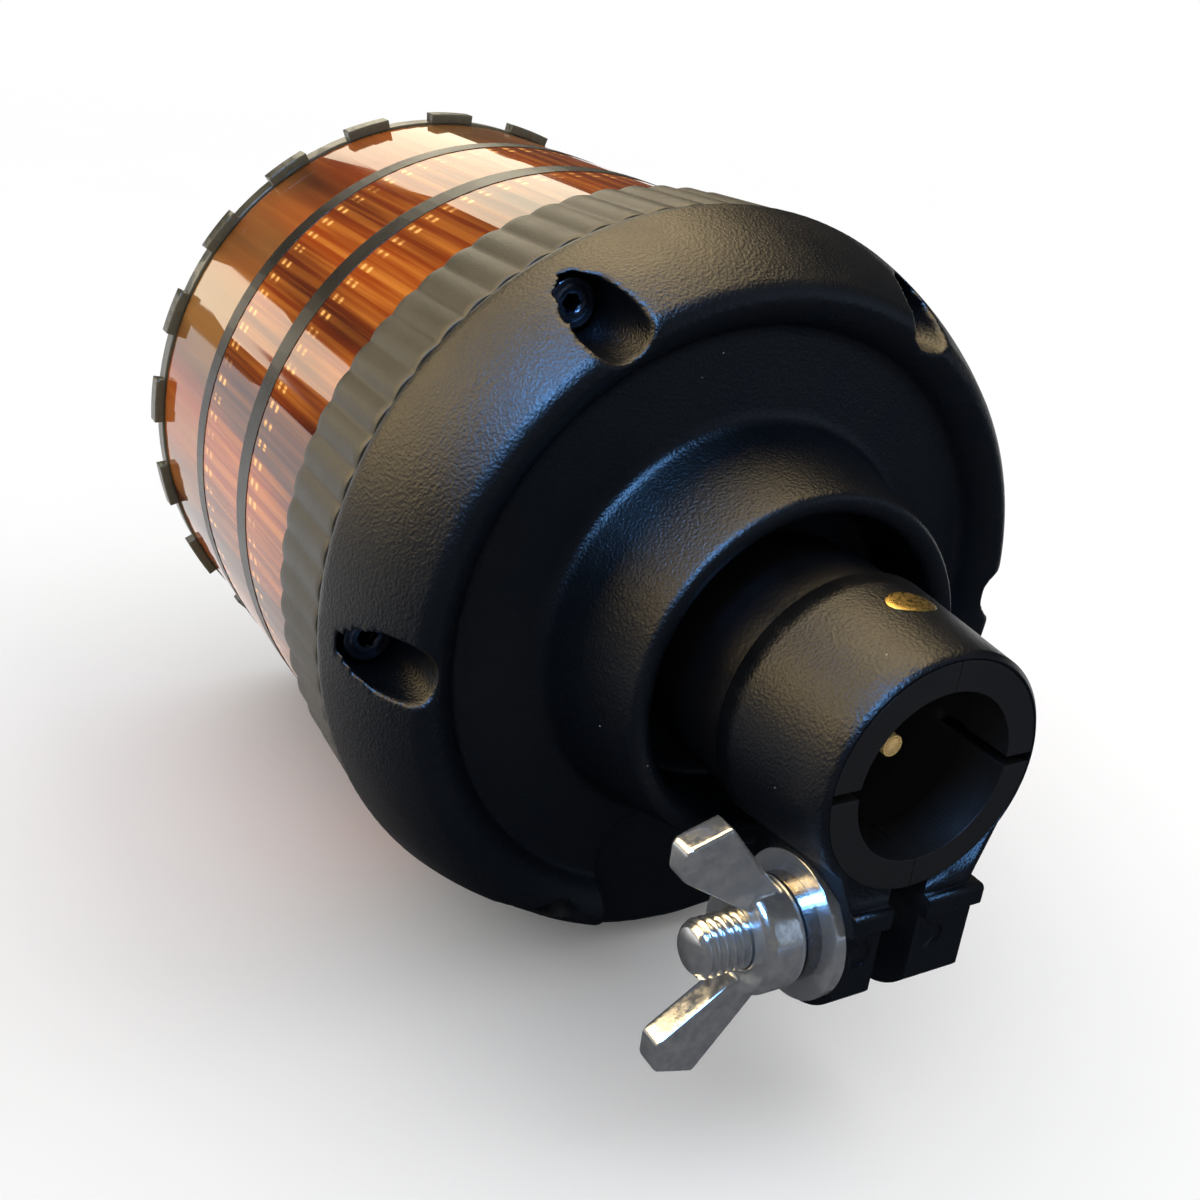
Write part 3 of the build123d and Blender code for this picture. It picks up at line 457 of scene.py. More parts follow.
# Black plastic keeps the default navy-tinted colours, a painted bluish sheen.
BLACK_PLASTIC = Moulded("black_plastic", edge=0.15, dust=0.10)
LINER_PLASTIC = Moulded(
    "liner_plastic", (0.008, 0.008, 0.009), (0.011, 0.011, 0.011), roughness=0.42, grain=0.3, grain_depth=0.02,
    edge=0.2)
STEM_RUBBER = Moulded(
    "stem_rubber", (0.003, 0.003, 0.004), (0.005, 0.005, 0.006), grain=0.8, grain_depth=0.03, edge=0.3)
GASKET_RUBBER = Moulded(
    "gasket_rubber", (0.004, 0.005, 0.008), (0.030, 0.036, 0.048), roughness=0.5, grain_depth=0.05, edge=0.1)
CARRIER_PLASTIC = Moulded(
    "carrier_plastic", (0.003, 0.003, 0.004), (0.004, 0.004, 0.005), roughness=0.6, grain_depth=0.02, edge=0.2)
COLLAR_PLASTIC = Moulded(
    "collar_plastic", (0.048, 0.041, 0.024), (0.060, 0.051, 0.031), roughness=0.45, specular=0.5, grain=0.35,
    grain_depth=0.03, edge=0.2)
BAND_PLASTIC = Moulded(
    "band_plastic", (0.020, 0.018, 0.014), (0.024, 0.021, 0.017), roughness=0.30, grain=0.3, grain_depth=0.01,
    edge=0.15)
CAP_PLASTIC = Moulded(
    "cap_plastic", (0.085, 0.078, 0.052), (0.100, 0.090, 0.062), roughness=0.30, grain_depth=0.01, edge=0.6)
CORE_POLYMER = Moulded("core_polymer", (0.003, 0.003, 0.004), (0.005, 0.005, 0.005), roughness=0.5)
PART_PLASTIC = Moulded("part_plastic", (0.02, 0.02, 0.02), (0.03, 0.03, 0.03))
TERMINAL_PLASTIC = Moulded("terminal_plastic", (0.03, 0.20, 0.08), (0.04, 0.22, 0.10))
LED_BODY = Moulded("led_body", (0.80, 0.72, 0.45), (0.85, 0.80, 0.60))
ZINC_STEEL = Metal("zinc_steel", (0.78, 0.78, 0.76), (0.55, 0.56, 0.57), 0.08, 0.26, pits=0.010, metallic=0.86)
SPRING_STEEL = Metal("spring_steel", (0.42, 0.38, 0.33), (0.30, 0.32, 0.36), 0.12, 0.3, 2.5)
PIN_BRASS = Metal("pin_brass", (0.95, 0.68, 0.30), (0.80, 0.54, 0.22), 0.18, 0.35, 0.6, metallic=0.4)
EARTH_METAL = Metal("earth_metal", (0.60, 0.58, 0.52), (0.50, 0.48, 0.42), 0.3, 0.5)
SEAT_METAL = Metal("seat_metal", (0.35, 0.35, 0.36), (0.30, 0.30, 0.31), 0.4, 0.6)
SINK_ALUMINIUM = Metal("sink_aluminium", (0.62, 0.62, 0.63), (0.52, 0.52, 0.53), 0.35, 0.55, 3.0)
PLATE_STEEL = Metal("plate_steel", (0.50, 0.50, 0.50), (0.42, 0.42, 0.43), 0.3, 0.5)
CAN_ALUMINIUM = Metal("can_aluminium", (0.65, 0.65, 0.66), (0.58, 0.58, 0.60), 0.25, 0.45)
GOLD_FOIL = Metal("gold_foil", (0.62, 0.42, 0.12), (0.40, 0.27, 0.08), 0.2, 0.45, 0.5, 0.03, 0.1)
BOARD_LAMINATE = Laminate("board_laminate")
WHITE_BOARD = Laminate("white_board", (0.70, 0.70, 0.68), (0.62, 0.62, 0.60), 0.35)
LENS_AMBER = AmberLens("lens_amber")
ZINC_DARK = Metal("screw_black", (0.40, 0.43, 0.50), (0.26, 0.28, 0.34), 0.12, 0.28, 1.2)
# Prism finish with painted glints that glow.
PRISM_PAINTED_GLINT = PaintedGlintPrism("prism_amber")


def add(name: str, data: bpy.types.ID) -> bpy.types.Object:
    """New object in the scene, with its mesh, light or camera."""
    item = bpy.data.objects.new(name, data)
    bpy.context.scene.collection.objects.link(item)
    return item


def circle_steps(count: int) -> list[float]:
    """Angles of equal steps round a full circle."""
    return [2.0 * math.pi * step / count for step in range(count)]


def shape(name: str, points: Sequence[Sequence[float]], faces: Sequence[Sequence[int]]) -> bpy.types.Object:
    """Object made of points in millimetres and faces, its normals turned outwards.

    Args:
        name: Name of the object and its mesh.
        points: Corners in millimetres.
        faces: Lists of corner numbers.

    Returns:
        The new object, linked to the scene.
    """
    mesh = bpy.data.meshes.new(name)
    mesh.from_pydata([tuple(mm(value) for value in point) for point in points], [], faces)
    work = bmesh.new()
    work.from_mesh(mesh)
    bmesh.ops.remove_doubles(work, verts=work.verts, dist=mm(0.001))
    bmesh.ops.recalc_face_normals(work, faces=work.faces)
    work.to_mesh(mesh)
    work.free()
    return add(name, mesh)


def skin(rings: Sequence[Sequence[Point]], closed: bool) -> tuple[list[Point], list[list[int]]]:
    """Points and faces of a skin over rings of equal length.

    Args:
        rings: Rings of points, one after the other.
        closed: True joins the last ring to the first, and False shuts both ends with a fan.

    Returns:
        The points and the faces.
    """
    size = len(rings[0])
    points = [point for ring in rings for point in ring]
    faces = []
    joints = len(rings) if closed else len(rings) - 1
    for row in range(joints):
        here, there = row * size, (row + 1) % len(rings) * size
        for step in range(size):
            after = (step + 1) % size
            faces.append([here + step, here + after, there + after, there + step])
    if not closed:
        for start in (0, (len(rings) - 1) * size):
            centre = [sum(point[axis] for point in points[start:start + size]) / size for axis in range(3)]
            points.append(tuple(centre))
            faces += [[start + step, start + (step + 1) % size, len(points) - 1] for step in range(size)]
    return points, faces


def turned_ring(profile: Sequence[tuple[float, float]], segments: int) -> tuple[list[Point], list[list[int]]]:
    """Closed ring turned about Z.

    Args:
        profile: Closed outline as pairs of radius and height.
        segments: Number of steps round the axis.

    Returns:
        The points and the faces.
    """
    rings = [[(radius * math.cos(turn), radius * math.sin(turn), height) for turn in circle_steps(segments)]
             for radius, height in profile]
    return skin(rings, True)


def shade(item: bpy.types.Object, sharp_degrees: float = 32.0) -> None:
    """Smooth shading with edges kept sharp above an angle."""
    item.data.polygons.foreach_set("use_smooth", [True] * len(item.data.polygons))
    item.data.set_sharp_from_angle(angle=math.radians(sharp_degrees))


def settle(item: bpy.types.Object) -> None:
    """Puts what the modifiers make into the object's own mesh.

    Args:
        item: The object.
    """
    bpy.context.view_layer.update()
    made = item.evaluated_get(bpy.context.evaluated_depsgraph_get())
    mesh = bpy.data.meshes.new_from_object(made, depsgraph=bpy.context.evaluated_depsgraph_get())
    mesh.name = item.name
    item.modifiers.clear()
    item.data = mesh


class GeometryTree(Wiring):
    """A Geometry Nodes tree with named inputs."""

    def __init__(self, name: str, inputs: dict[str, tuple[str, object]]) -> None:
        """Starts the tree.

        Args:
            name: Name of the node group.
            inputs: Socket type and default value of each named input.
        """
        super().__init__(bpy.data.node_groups.new(name, "GeometryNodeTree"))
        panel = self.tree.interface
        for way in ("INPUT", "OUTPUT"):
            panel.new_socket("Geometry", in_out=way, socket_type="NodeSocketGeometry")
        for label, (kind, value) in inputs.items():
            socket = panel.new_socket(label, in_out="INPUT", socket_type=kind)
            if value is not None:
                socket.default_value = value
        self.entry = self.node("NodeGroupInput").outputs
        self.exit = self.node("NodeGroupOutput").inputs

    def end(self, geometry: bpy.types.NodeSocket) -> None:
        """Ends the tree: instances made real and the finish set."""
        real = self.node("GeometryNodeRealizeInstances", {0: geometry}).outputs[0]
        painted = self.node("GeometryNodeSetMaterial", {"Geometry": real, "Material": self.entry["Finish"]})
        self.feed(self.exit[0], painted.outputs[0])

    def grow(self, host: bpy.types.Object, values: dict[str, object]) -> bpy.types.Object:
        """Runs the tree on an object and keeps the result as its plain mesh.

        Args:
            host: Object that the tree works on.
            values: Values of the named inputs.

        Returns:
            The same object with its new mesh.
        """
        modifier = host.modifiers.new(self.tree.name, "NODES")
        modifier.node_group = self.tree
        for socket in self.tree.interface.items_tree:
            if socket.in_out == "INPUT" and socket.name in values:
                modifier[socket.identifier] = values[socket.name]
        settle(host)
        return host


class RingArray(GeometryTree):
    """Copies of one item round the beacon's axis, its +X pointing outwards."""

    def __init__(self) -> None:
        """Builds the tree."""
        super().__init__("ring_array", {
            "Item": ("NodeSocketObject", None),
            "Count": ("NodeSocketInt", 6),
            "Radius": ("NodeSocketFloat", mm(50.0)),
            "Height": ("NodeSocketFloat", 0.0),
            "First Angle": ("NodeSocketFloat", 0.0),
            "Finish": ("NodeSocketMaterial", None),
        })
        count, radius = self.entry["Count"], self.entry["Radius"]
        index = self.node("GeometryNodeInputIndex").outputs[0]
        step = self.math("DIVIDE", 2.0 * math.pi, count)
        turn = self.math("ADD", self.entry["First Angle"], self.math("MULTIPLY", index, step))
        place = self.node("ShaderNodeCombineXYZ", {
            "X": self.math("MULTIPLY", radius, self.math("COSINE", turn)),
            "Y": self.math("MULTIPLY", radius, self.math("SINE", turn)),
            "Z": self.entry["Height"]}).outputs[0]
        points = self.node("GeometryNodePoints", {"Count": count, "Position": place}).outputs[0]
        placed = self.node("GeometryNodeSetPosition", {"Geometry": points, "Position": place}).outputs[0]
        euler = self.node("ShaderNodeCombineXYZ", {"Z": turn}).outputs[0]
        rotation = self.node("FunctionNodeEulerToRotation", {0: euler}).outputs[0]
        item = self.node("GeometryNodeObjectInfo", {"Object": self.entry["Item"]}).outputs["Geometry"]
        copies = self.node("GeometryNodeInstanceOnPoints", {
            "Points": placed, "Instance": item, "Rotation": rotation})
        self.end(copies.outputs[0])

    def lay(self, name: str, item: bpy.types.Object, finish: Finish, count: int, radius: float,
            height: float, first_degrees: float = 0.0) -> bpy.types.Object:
        """Lays out copies of an item and removes the item itself.

        Args:
            name: Name of the new object.
            item: What is repeated, modelled at the origin.
            finish: Finish of the copies.
            count: Number of copies.
            radius: Radius of their circle in millimetres.
            height: Height of the circle in millimetres.
            first_degrees: Angle of the first copy.

        Returns:
            One object with all the copies.
        """
        host = shape(name, [], [])
        self.grow(host, {
            "Item": item, "Count": count, "Radius": mm(radius), "Height": mm(height),
            "First Angle": math.radians(first_degrees), "Finish": finish.material()})
        bpy.data.objects.remove(item)
        return host


class RibWave(GeometryTree):
    """Presses equal round ribs with sharp valleys into the outer skin of a turned ring."""

    def __init__(self) -> None:
        """Builds the tree."""
        super().__init__("rib_wave", {
            "Rib Count": ("NodeSocketInt", 72),
            "Skin Radius": ("NodeSocketFloat", mm(57.0)),
            "Foot Height": ("NodeSocketFloat", 0.0),
            "Top Height": ("NodeSocketFloat", mm(10.0)),
            "Foot Depth": ("NodeSocketFloat", mm(0.5)),
            "Top Depth": ("NodeSocketFloat", mm(0.4)),
            "Finish": ("NodeSocketMaterial", None),
        })
        position = self.node("GeometryNodeInputPosition").outputs[0]
        axes = self.node("ShaderNodeSeparateXYZ", {0: position}).outputs
        turn = self.math("ARCTAN2", axes["Y"], axes["X"])
        reach = self.math("SQRT", self.math("ADD", self.math("POWER", axes["X"], 2.0),
                                            self.math("POWER", axes["Y"], 2.0)))
        half_turns = self.math("MULTIPLY", turn, self.math("DIVIDE", self.entry["Rib Count"], 2.0))
        lobe = self.math("ABSOLUTE", self.math("COSINE", half_turns))
        depth = self.node("ShaderNodeMapRange", {
            0: axes["Z"], 1: self.entry["Foot Height"], 2: self.entry["Top Height"],
            3: self.entry["Foot Depth"], 4: self.entry["Top Depth"]}).outputs[0]
        inset = self.math("MULTIPLY", self.math("SUBTRACT", 1.0, lobe), depth)
        ratio = self.math("DIVIDE", self.math("SUBTRACT", reach, inset), reach)
        place = self.node("ShaderNodeCombineXYZ", {
            "X": self.math("MULTIPLY", axes["X"], ratio),
            "Y": self.math("MULTIPLY", axes["Y"], ratio), "Z": axes["Z"]}).outputs[0]
        outside = self.node("FunctionNodeCompare", {0: reach, 1: self.entry["Skin Radius"]}).outputs[0]
        moved = self.node("GeometryNodeSetPosition", {
            "Geometry": self.entry["Geometry"], "Selection": outside, "Position": place}).outputs[0]
        self.end(moved)


@dataclass
class SubAssembly:
    """Part of the beacon, with the frame's nodes to dress."""

    nodes: dict[str, bpy.types.Object]
    pieces: list[str] = field(default_factory=list, init=False)

    def carry(self, node: str, finish: Finish) -> None:
        """Gives a node of the frame its finish and leaves its shape alone.

        Args:
            node: Name of the node.
            finish: Its finish.
        """
        item = self.nodes[node]
        if not item.material_slots:
            item.data.materials.append(finish.material())
        for place in item.material_slots:
            place.material = finish.material()
        self.pieces.append(node)

    def copy_of(self, node: str, name: str) -> bpy.types.Object:
        """Copy of a node with its loose triangles joined.

        Args:
            node: Name of the node.
            name: Name of the copy.

        Returns:
            The copy.
        """
        mesh = self.nodes[node].data.copy()
        mesh.name = name
        mesh.materials.clear()
        work = bmesh.new()
        work.from_mesh(mesh)
        bmesh.ops.remove_doubles(work, verts=work.verts, dist=mm(0.002))
        work.to_mesh(mesh)
        work.free()
        return add(name, mesh)

    def install(self, item: bpy.types.Object, body: Body, finish: Finish, *replaced: str) -> bpy.types.Object:
        """Puts a finished piece on its body.

        Args:
            item: The piece.
            body: Body that carries it.
            finish: Its finish.
            *replaced: Nodes that it stands for.

        Returns:
            The piece.
        """
        if not item.data.materials:
            item.data.materials.append(finish.material())
        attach(item, body.value)
        if replaced:
            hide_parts(*replaced)
        self.pieces.append(item.name)
        return item

    def smooth(self, node: str, body: Body, finish: Finish, sharp_degrees: float = 32.0) -> bpy.types.Object:
        """Replaces a node by a smooth-shaded copy of itself.

        Args:
            node: Name of the node.
            body: Body that carries it.
            finish: Its finish.
            sharp_degrees: Edges above this angle stay sharp.

        Returns:
            The piece.
        """
        item = self.copy_of(node, f"{node}_finished")
        shade(item, sharp_degrees)
        weights = item.modifiers.new("even_normals", "WEIGHTED_NORMAL")
        weights.keep_sharp = True
        settle(item)
        return self.install(item, body, finish, node)

    def cast(self, node: str, body: Body, finish: Finish, voxel: float, rounds: int,
             kept: float = 1.0) -> bpy.types.Object:
        """Replaces a node by a copy with cast, softly rounded edges.

        Args:
            node: Name of the node.
            body: Body that carries it.
            finish: Its finish.
            voxel: Size of the copy's faces in millimetres.
            rounds: How many times its edges are relaxed.
            kept: Share of the faces that stays.

        Returns:
            The piece.
        """
        item = self.copy_of(node, f"{node}_finished")
        grid = item.modifiers.new("cast_skin", "REMESH")
        grid.mode = "VOXEL"
        grid.voxel_size = mm(voxel)
        relax = item.modifiers.new("cast_edges", "SMOOTH")
        relax.factor = 0.5
        relax.iterations = rounds
        if kept < 1.0:
            item.modifiers.new("cast_thinning", "DECIMATE").ratio = kept
        settle(item)
        shade(item, 180.0)
        return self.install(item, body, finish, node)

    def report(self) -> None:
        """Writes what was dressed to the log."""
        LOG.info("%s: %s", type(self).__name__, ", ".join(self.pieces))


@dataclass
class ClampSocket(SubAssembly):
    """The socket that takes the pole, with its liner, contacts and bare rating plate."""

    pin_travel: float = 4.0
    plate_angle: float = 6.2
    plate_height: float = 12.5
    plate_half_width: float = 4.0
    plate_half_height: float = 2.5
    plate_thickness: float = 0.12
    tube_foot_radius: float = 17.55
    tube_end_radius: float = 19.4
    tube_length: float = 20.6

    def build(self) -> None:
        """Dresses the socket's pieces."""
        self.smooth("clamp_socket", Body.SOCKET, BLACK_PLASTIC)
        for side in ("left", "right"):
            self.smooth(f"liner_half_{side}", Body.SOCKET, LINER_PLASTIC)
        self.smooth("earth_contact", Body.SOCKET, EARTH_METAL)
        self.smooth("contact_carrier", Body.SOCKET, CARRIER_PLASTIC)
        self.smooth("contact_pin", Body.CONTACT_PIN, PIN_BRASS)
        self.spring()
        self.install(self.rating_plate(), Body.SOCKET, GOLD_FOIL)

    def spring(self) -> None:
        """Contact spring, a smooth-shaded copy with a mesh of its own."""
        item = self.smooth("contact_spring", Body.SOCKET, SPRING_STEEL, 60.0)
        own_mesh(item)

    def rating_plate(self) -> bpy.types.Object:
        """Small bare oval of gold foil that follows the tube.

        Returns:
            The plate.
        """
        rings = []
        for share, lift in ((1.0, -0.1), (1.0, 0.6), (0.97, 1.0), (0.7, 1.0), (0.35, 1.0)):
            ring = []
            for turn in circle_steps(48):
                height = self.plate_height + share * self.plate_half_height * math.sin(turn)
                rise = height / self.tube_length
                radius = self.tube_foot_radius + rise * (self.tube_end_radius - self.tube_foot_radius)
                spread = share * self.plate_half_width * math.cos(turn) / radius
                angle = math.radians(self.plate_angle) + spread
                radius += lift * self.plate_thickness
                ring.append((radius * math.cos(angle), radius * math.sin(angle), height))
            rings.append(ring)
        item = shape("rating_plate", *skin(rings, False))
        shade(item, 60.0)
        return item


@dataclass
class ClampHardware(SubAssembly):
    """Bolt with its thread, washers and wing nut."""

    axis_x: float = -26.1
    axis_z: float = 9.3
    bolt_radius: float = 4.0
    thread_depth: float = 0.72
    thread_pitch: float = 1.25
    thread_start: float = -9.0
    thread_row: float = 0.1
    bolt_end: float = -26.75
    end_chamfer: float = 1.0
    head_face: float = 8.25
    head_back: float = 13.55
    head_flats: float = 13.0
    head_bevel: tuple[tuple[float, float], ...] = ((0.9, math.inf), (0.3, 7.0), (0.0, 6.2))
    shank_inset: float = 0.12
    thread_crest: float = 0.1
    thread_flank: float = 0.75
    segments: int = 72

    def build(self) -> None:
        """Dresses the clamp's metal pieces."""
        self.install(self.bolt(), Body.SOCKET, ZINC_STEEL, "clamp_bolt")
        self.smooth("flat_washer", Body.SOCKET, ZINC_STEEL)
        self.smooth("spring_washer", Body.LOCK_WASHER, SPRING_STEEL)
        self.cast("wing_nut", Body.WING_NUT, ZINC_STEEL, 0.3, 6)

    def bolt(self) -> bpy.types.Object:
        """Bolt with a helical thread and a six-sided head.

        Returns:
            The bolt.
        """
        points, faces = skin([self.ring(y) for y in self.stations()], False)
        head_points, head_faces = skin(self.head_rings(), False)
        offset = len(points)
        faces += [[number + offset for number in face] for face in head_faces]
        item = shape("clamp_bolt_threaded", points + head_points, faces)
        shade(item, 50.0)
        return item

    def stations(self) -> list[float]:
        """Places along the bolt's axis where its skin has a ring."""
        plain = [self.head_face + 0.2, 4.0, 0.0, -4.0, self.thread_start + 0.4]
        rows = int((self.thread_start - self.bolt_end) / self.thread_row)
        return plain + [self.thread_start - self.thread_row * row for row in range(rows)] + [self.bolt_end]

    def ring(self, y: float) -> list[Point]:
        """Ring of points round the bolt.

        Args:
            y: Place along the bolt's axis in millimetres.

        Returns:
            The ring's points.
        """
        points = []
        for turn in circle_steps(self.segments):
            radius = self.radius_at(y, turn)
            points.append((self.axis_x + radius * math.cos(turn), y, self.axis_z + radius * math.sin(turn)))
        return points

    def radius_at(self, y: float, turn: float) -> float:
        """Radius of the bolt's skin, thread and end chamfer included.

        Args:
            y: Place along the bolt's axis in millimetres.
            turn: Angle round that axis.

        Returns:
            The radius in millimetres.
        """
        chamfered = self.bolt_radius - self.end_chamfer + (y - self.bolt_end)
        if y > self.thread_start:
            return self.bolt_radius - self.shank_inset
        phase = (-y / self.thread_pitch - turn / (2.0 * math.pi)) % 1.0
        flank = min(1.0, max(0.0, (abs(2.0 * phase - 1.0) - self.thread_crest) / self.thread_flank))
        return min(self.bolt_radius - self.thread_depth * (1.0 - flank), chamfered)

    def head_rings(self) -> list[list[Point]]:
        """Rings of the six-sided head, its corners turned down at the back.

        Returns:
            The rings.
        """
        rings = []
        apothem = self.head_flats / 2.0
        bevel = [(self.head_back - depth, limit) for depth, limit in self.head_bevel]
        for y, limit in [(self.head_face, math.inf)] + bevel:
            ring = []
            for turn in circle_steps(self.segments):
                side = (turn % (math.pi / 3.0)) - math.pi / 6.0
                radius = min(apothem / math.cos(side), limit)
                ring.append((self.axis_x + radius * math.sin(turn), y, self.axis_z + radius * math.cos(turn)))
            rings.append(ring)
        return rings


@dataclass
class FlexibleStem(SubAssembly):
    """Rubber sleeve and flexible core between the socket and the base."""

    def build(self) -> None:
        """Dresses the stem."""
        self.smooth("stem_sleeve", Body.SOCKET, STEM_RUBBER)
        self.smooth("flex_core", Body.FLEX_CORE, CORE_POLYMER)


@dataclass
class BaseHousing(SubAssembly):
    """Black base with its screws, gasket and seat plate."""

    screw_count: int = 6
    screw_circle: float = 53.5
    screw_first_angle: float = 30.0
    screw_head_face: float = 57.2
    screw_head_radius: float = 3.5
    screw_head_height: float = 2.6
    screw_socket_radius: float = 1.5
    screw_socket_depth: float = 1.4
    screw_star_depth: float = 0.16

    def build(self, ring_array: RingArray) -> None:
        """Dresses the base.

        Args:
            ring_array: Tree that lays out the screws.
        """
        self.cast("base_housing", Body.HEAD, BLACK_PLASTIC, 0.52, 7, 0.45)
        self.smooth("base_gasket", Body.HEAD, GASKET_RUBBER)
        screws = ring_array.lay("base_screw_heads", self.screw_head(), ZINC_DARK, self.screw_count,
                                self.screw_circle, self.screw_head_face, self.screw_first_angle)
        shade(screws, 40.0)
        self.install(screws, Body.HEAD, ZINC_DARK)
        self.carry("base_screws", ZINC_DARK)
        self.carry("seat_plate", SEAT_METAL)
        self.carry("seat_screws", PLATE_STEEL)

    def screw_head(self) -> bpy.types.Object:
        """Pan head with a star-shaped recess, its face downwards at the origin.

        Returns:
            The screw head.
        """
        outline = ((self.screw_head_radius + 0.02, self.screw_head_height - 0.2),
                   (self.screw_head_radius + 0.02, 1.0),
                   (self.screw_head_radius - 0.25, 0.35), (self.screw_head_radius - 0.9, -0.02),
                   (self.screw_socket_radius + 0.25, -0.05), (self.screw_socket_radius, 0.15),
                   (self.screw_socket_radius * 0.95, self.screw_socket_depth))
        rings = []
        for number, (radius, height) in enumerate(outline):
            star = self.screw_star_depth if number >= 5 else 0.0
            rings.append([(radius * (1.0 - star * math.sin(3.0 * turn) ** 2) * math.cos(turn),
                           radius * (1.0 - star * math.sin(3.0 * turn) ** 2) * math.sin(turn), height)
                          for turn in circle_steps(36)])
        return shape("screw_head_item", *skin(rings, False))


@dataclass
class CollarRing(SubAssembly):
    """Ribbed ring between base and lens."""

    foot: float = 63.0
    top: float = 81.0
    foot_crest: float = 59.06
    top_crest: float = 58.42
    foot_rib_depth: float = 0.51
    top_rib_depth: float = 0.43
    bore: float = 55.2
    rib_count: int = 72
    steps_per_rib: int = 10
    rows: int = 12

    def build(self, rib_wave: RibWave) -> None:
        """Builds the ribbed skin.

        Args:
            rib_wave: Tree that presses the ribs.
        """
        profile = [(self.bore, self.foot), (self.foot_crest - 0.35, self.foot),
                   (self.foot_crest - 0.1, self.foot + 0.1)]
        for row in range(self.rows + 1):
            share = row / self.rows
            height = self.foot + 0.35 + share * (self.top - self.foot - 1.0)
            profile.append((self.foot_crest + share * (self.top_crest - self.foot_crest), height))
        profile += [(self.top_crest - 0.15, self.top - 0.3), (self.top_crest - 0.5, self.top - 0.05),
                    (self.top_crest - 0.9, self.top), (self.bore, self.top)]
        item = shape("collar_ribs", *turned_ring(profile, self.rib_count * self.steps_per_rib))
        rib_wave.grow(item, {
            "Rib Count": self.rib_count, "Skin Radius": mm(self.top_crest - 1.0),
            "Foot Height": mm(self.foot), "Top Height": mm(self.top),
            "Foot Depth": mm(self.foot_rib_depth), "Top Depth": mm(self.top_rib_depth),
            "Finish": COLLAR_PLASTIC.material()})
        shade(item, 40.0)
        self.install(item, Body.HEAD, COLLAR_PLASTIC, "collar_ring")


@dataclass
class LensTube(SubAssembly):
    """Amber lens with its bands, prisms and gasket."""

    prism_count: int = 108
    prism_radius: float = 54.6
    prism_rows: tuple[float, ...] = (102.9, 100.6, 127.8, 125.5)

    def build(self, ring_array: RingArray) -> None:
        """Dresses the lens.

        Args:
            ring_array: Tree that lays out the prisms.
        """
        self.smooth("lens", Body.HEAD, LENS_AMBER, 20.0)
        for band in ("lower", "upper"):
            self.smooth(f"lens_band_{band}", Body.HEAD, BAND_PLASTIC)
        self.carry("lens_gasket", GASKET_RUBBER)
        for number, height in enumerate(self.prism_rows, 1):
            row = ring_array.lay(f"lens_prisms_{number}", self.prism(), PRISM_PAINTED_GLINT, self.prism_count,
                                 self.prism_radius, height, 180.0 / self.prism_count)
            shade(row, 60.0)
            self.install(row, Body.HEAD, PRISM_PAINTED_GLINT)

    def prism(self) -> bpy.types.Object:
        """Small bright bead, taller than wide, at the origin.

        Returns:
            The bead.
        """
        rings = []
        for height, size in ((-0.8, 0.25), (-0.45, 0.8), (0.0, 1.0), (0.45, 0.8), (0.8, 0.25)):
            rings.append([(0.35 * size * math.cos(turn), 0.5 * size * math.sin(turn), height)
                          for turn in circle_steps(8)])
        return shape("prism_item", *skin(rings, False))


@dataclass
class TopCap(SubAssembly):
    """Lugged cap and its seal."""

    def build(self) -> None:
        """Dresses the cap."""
        self.smooth("top_cap", Body.HEAD, CAP_PLASTIC)
        self.smooth("cap_seal", Body.HEAD, GASKET_RUBBER)


@dataclass
class LightEngine(SubAssembly):
    """Boards, heat sink and driver seen through the lens."""

    finishes: dict[str, Finish] = field(default_factory=lambda: {
        "chassis_plate": PLATE_STEEL, "chassis_spacers": PLATE_STEEL, "chassis_screws": PLATE_STEEL,
        "heat_sink": SINK_ALUMINIUM, "heat_sink_screws": PLATE_STEEL, "driver_board": BOARD_LAMINATE,
        "capacitors": CAN_ALUMINIUM, "inductor": PART_PLASTIC, "driver_chips": PART_PLASTIC,
        "terminal_block": TERMINAL_PLASTIC, "led_row_lower": LED_BODY, "led_row_middle": LED_BODY,
        "led_row_upper": LED_BODY})

    def build(self) -> None:
        """Dresses what the lens holds."""
        for node, finish in self.finishes.items():
            self.carry(node, finish)
        for number in range(1, 7):
            self.carry(f"led_board_{number}", WHITE_BOARD)


class Reach(Enum):
    """What a soft box lights."""

    ALL = "all"
    GLOSS = "gloss"
    SHADE = "shade"


@dataclass
class SoftBox:
    """One rectangular studio light, aimed at the beacon.

    The direction is in the camera's own right, up and back, and the glow is its brightness per area.
    """

    name: str
    direction: Point
    width: float
    height: float
    glow: float
    colour: Colour = (1.0, 1.0, 1.0)
    reach: Reach = Reach.ALL
    distance: float = 900.0


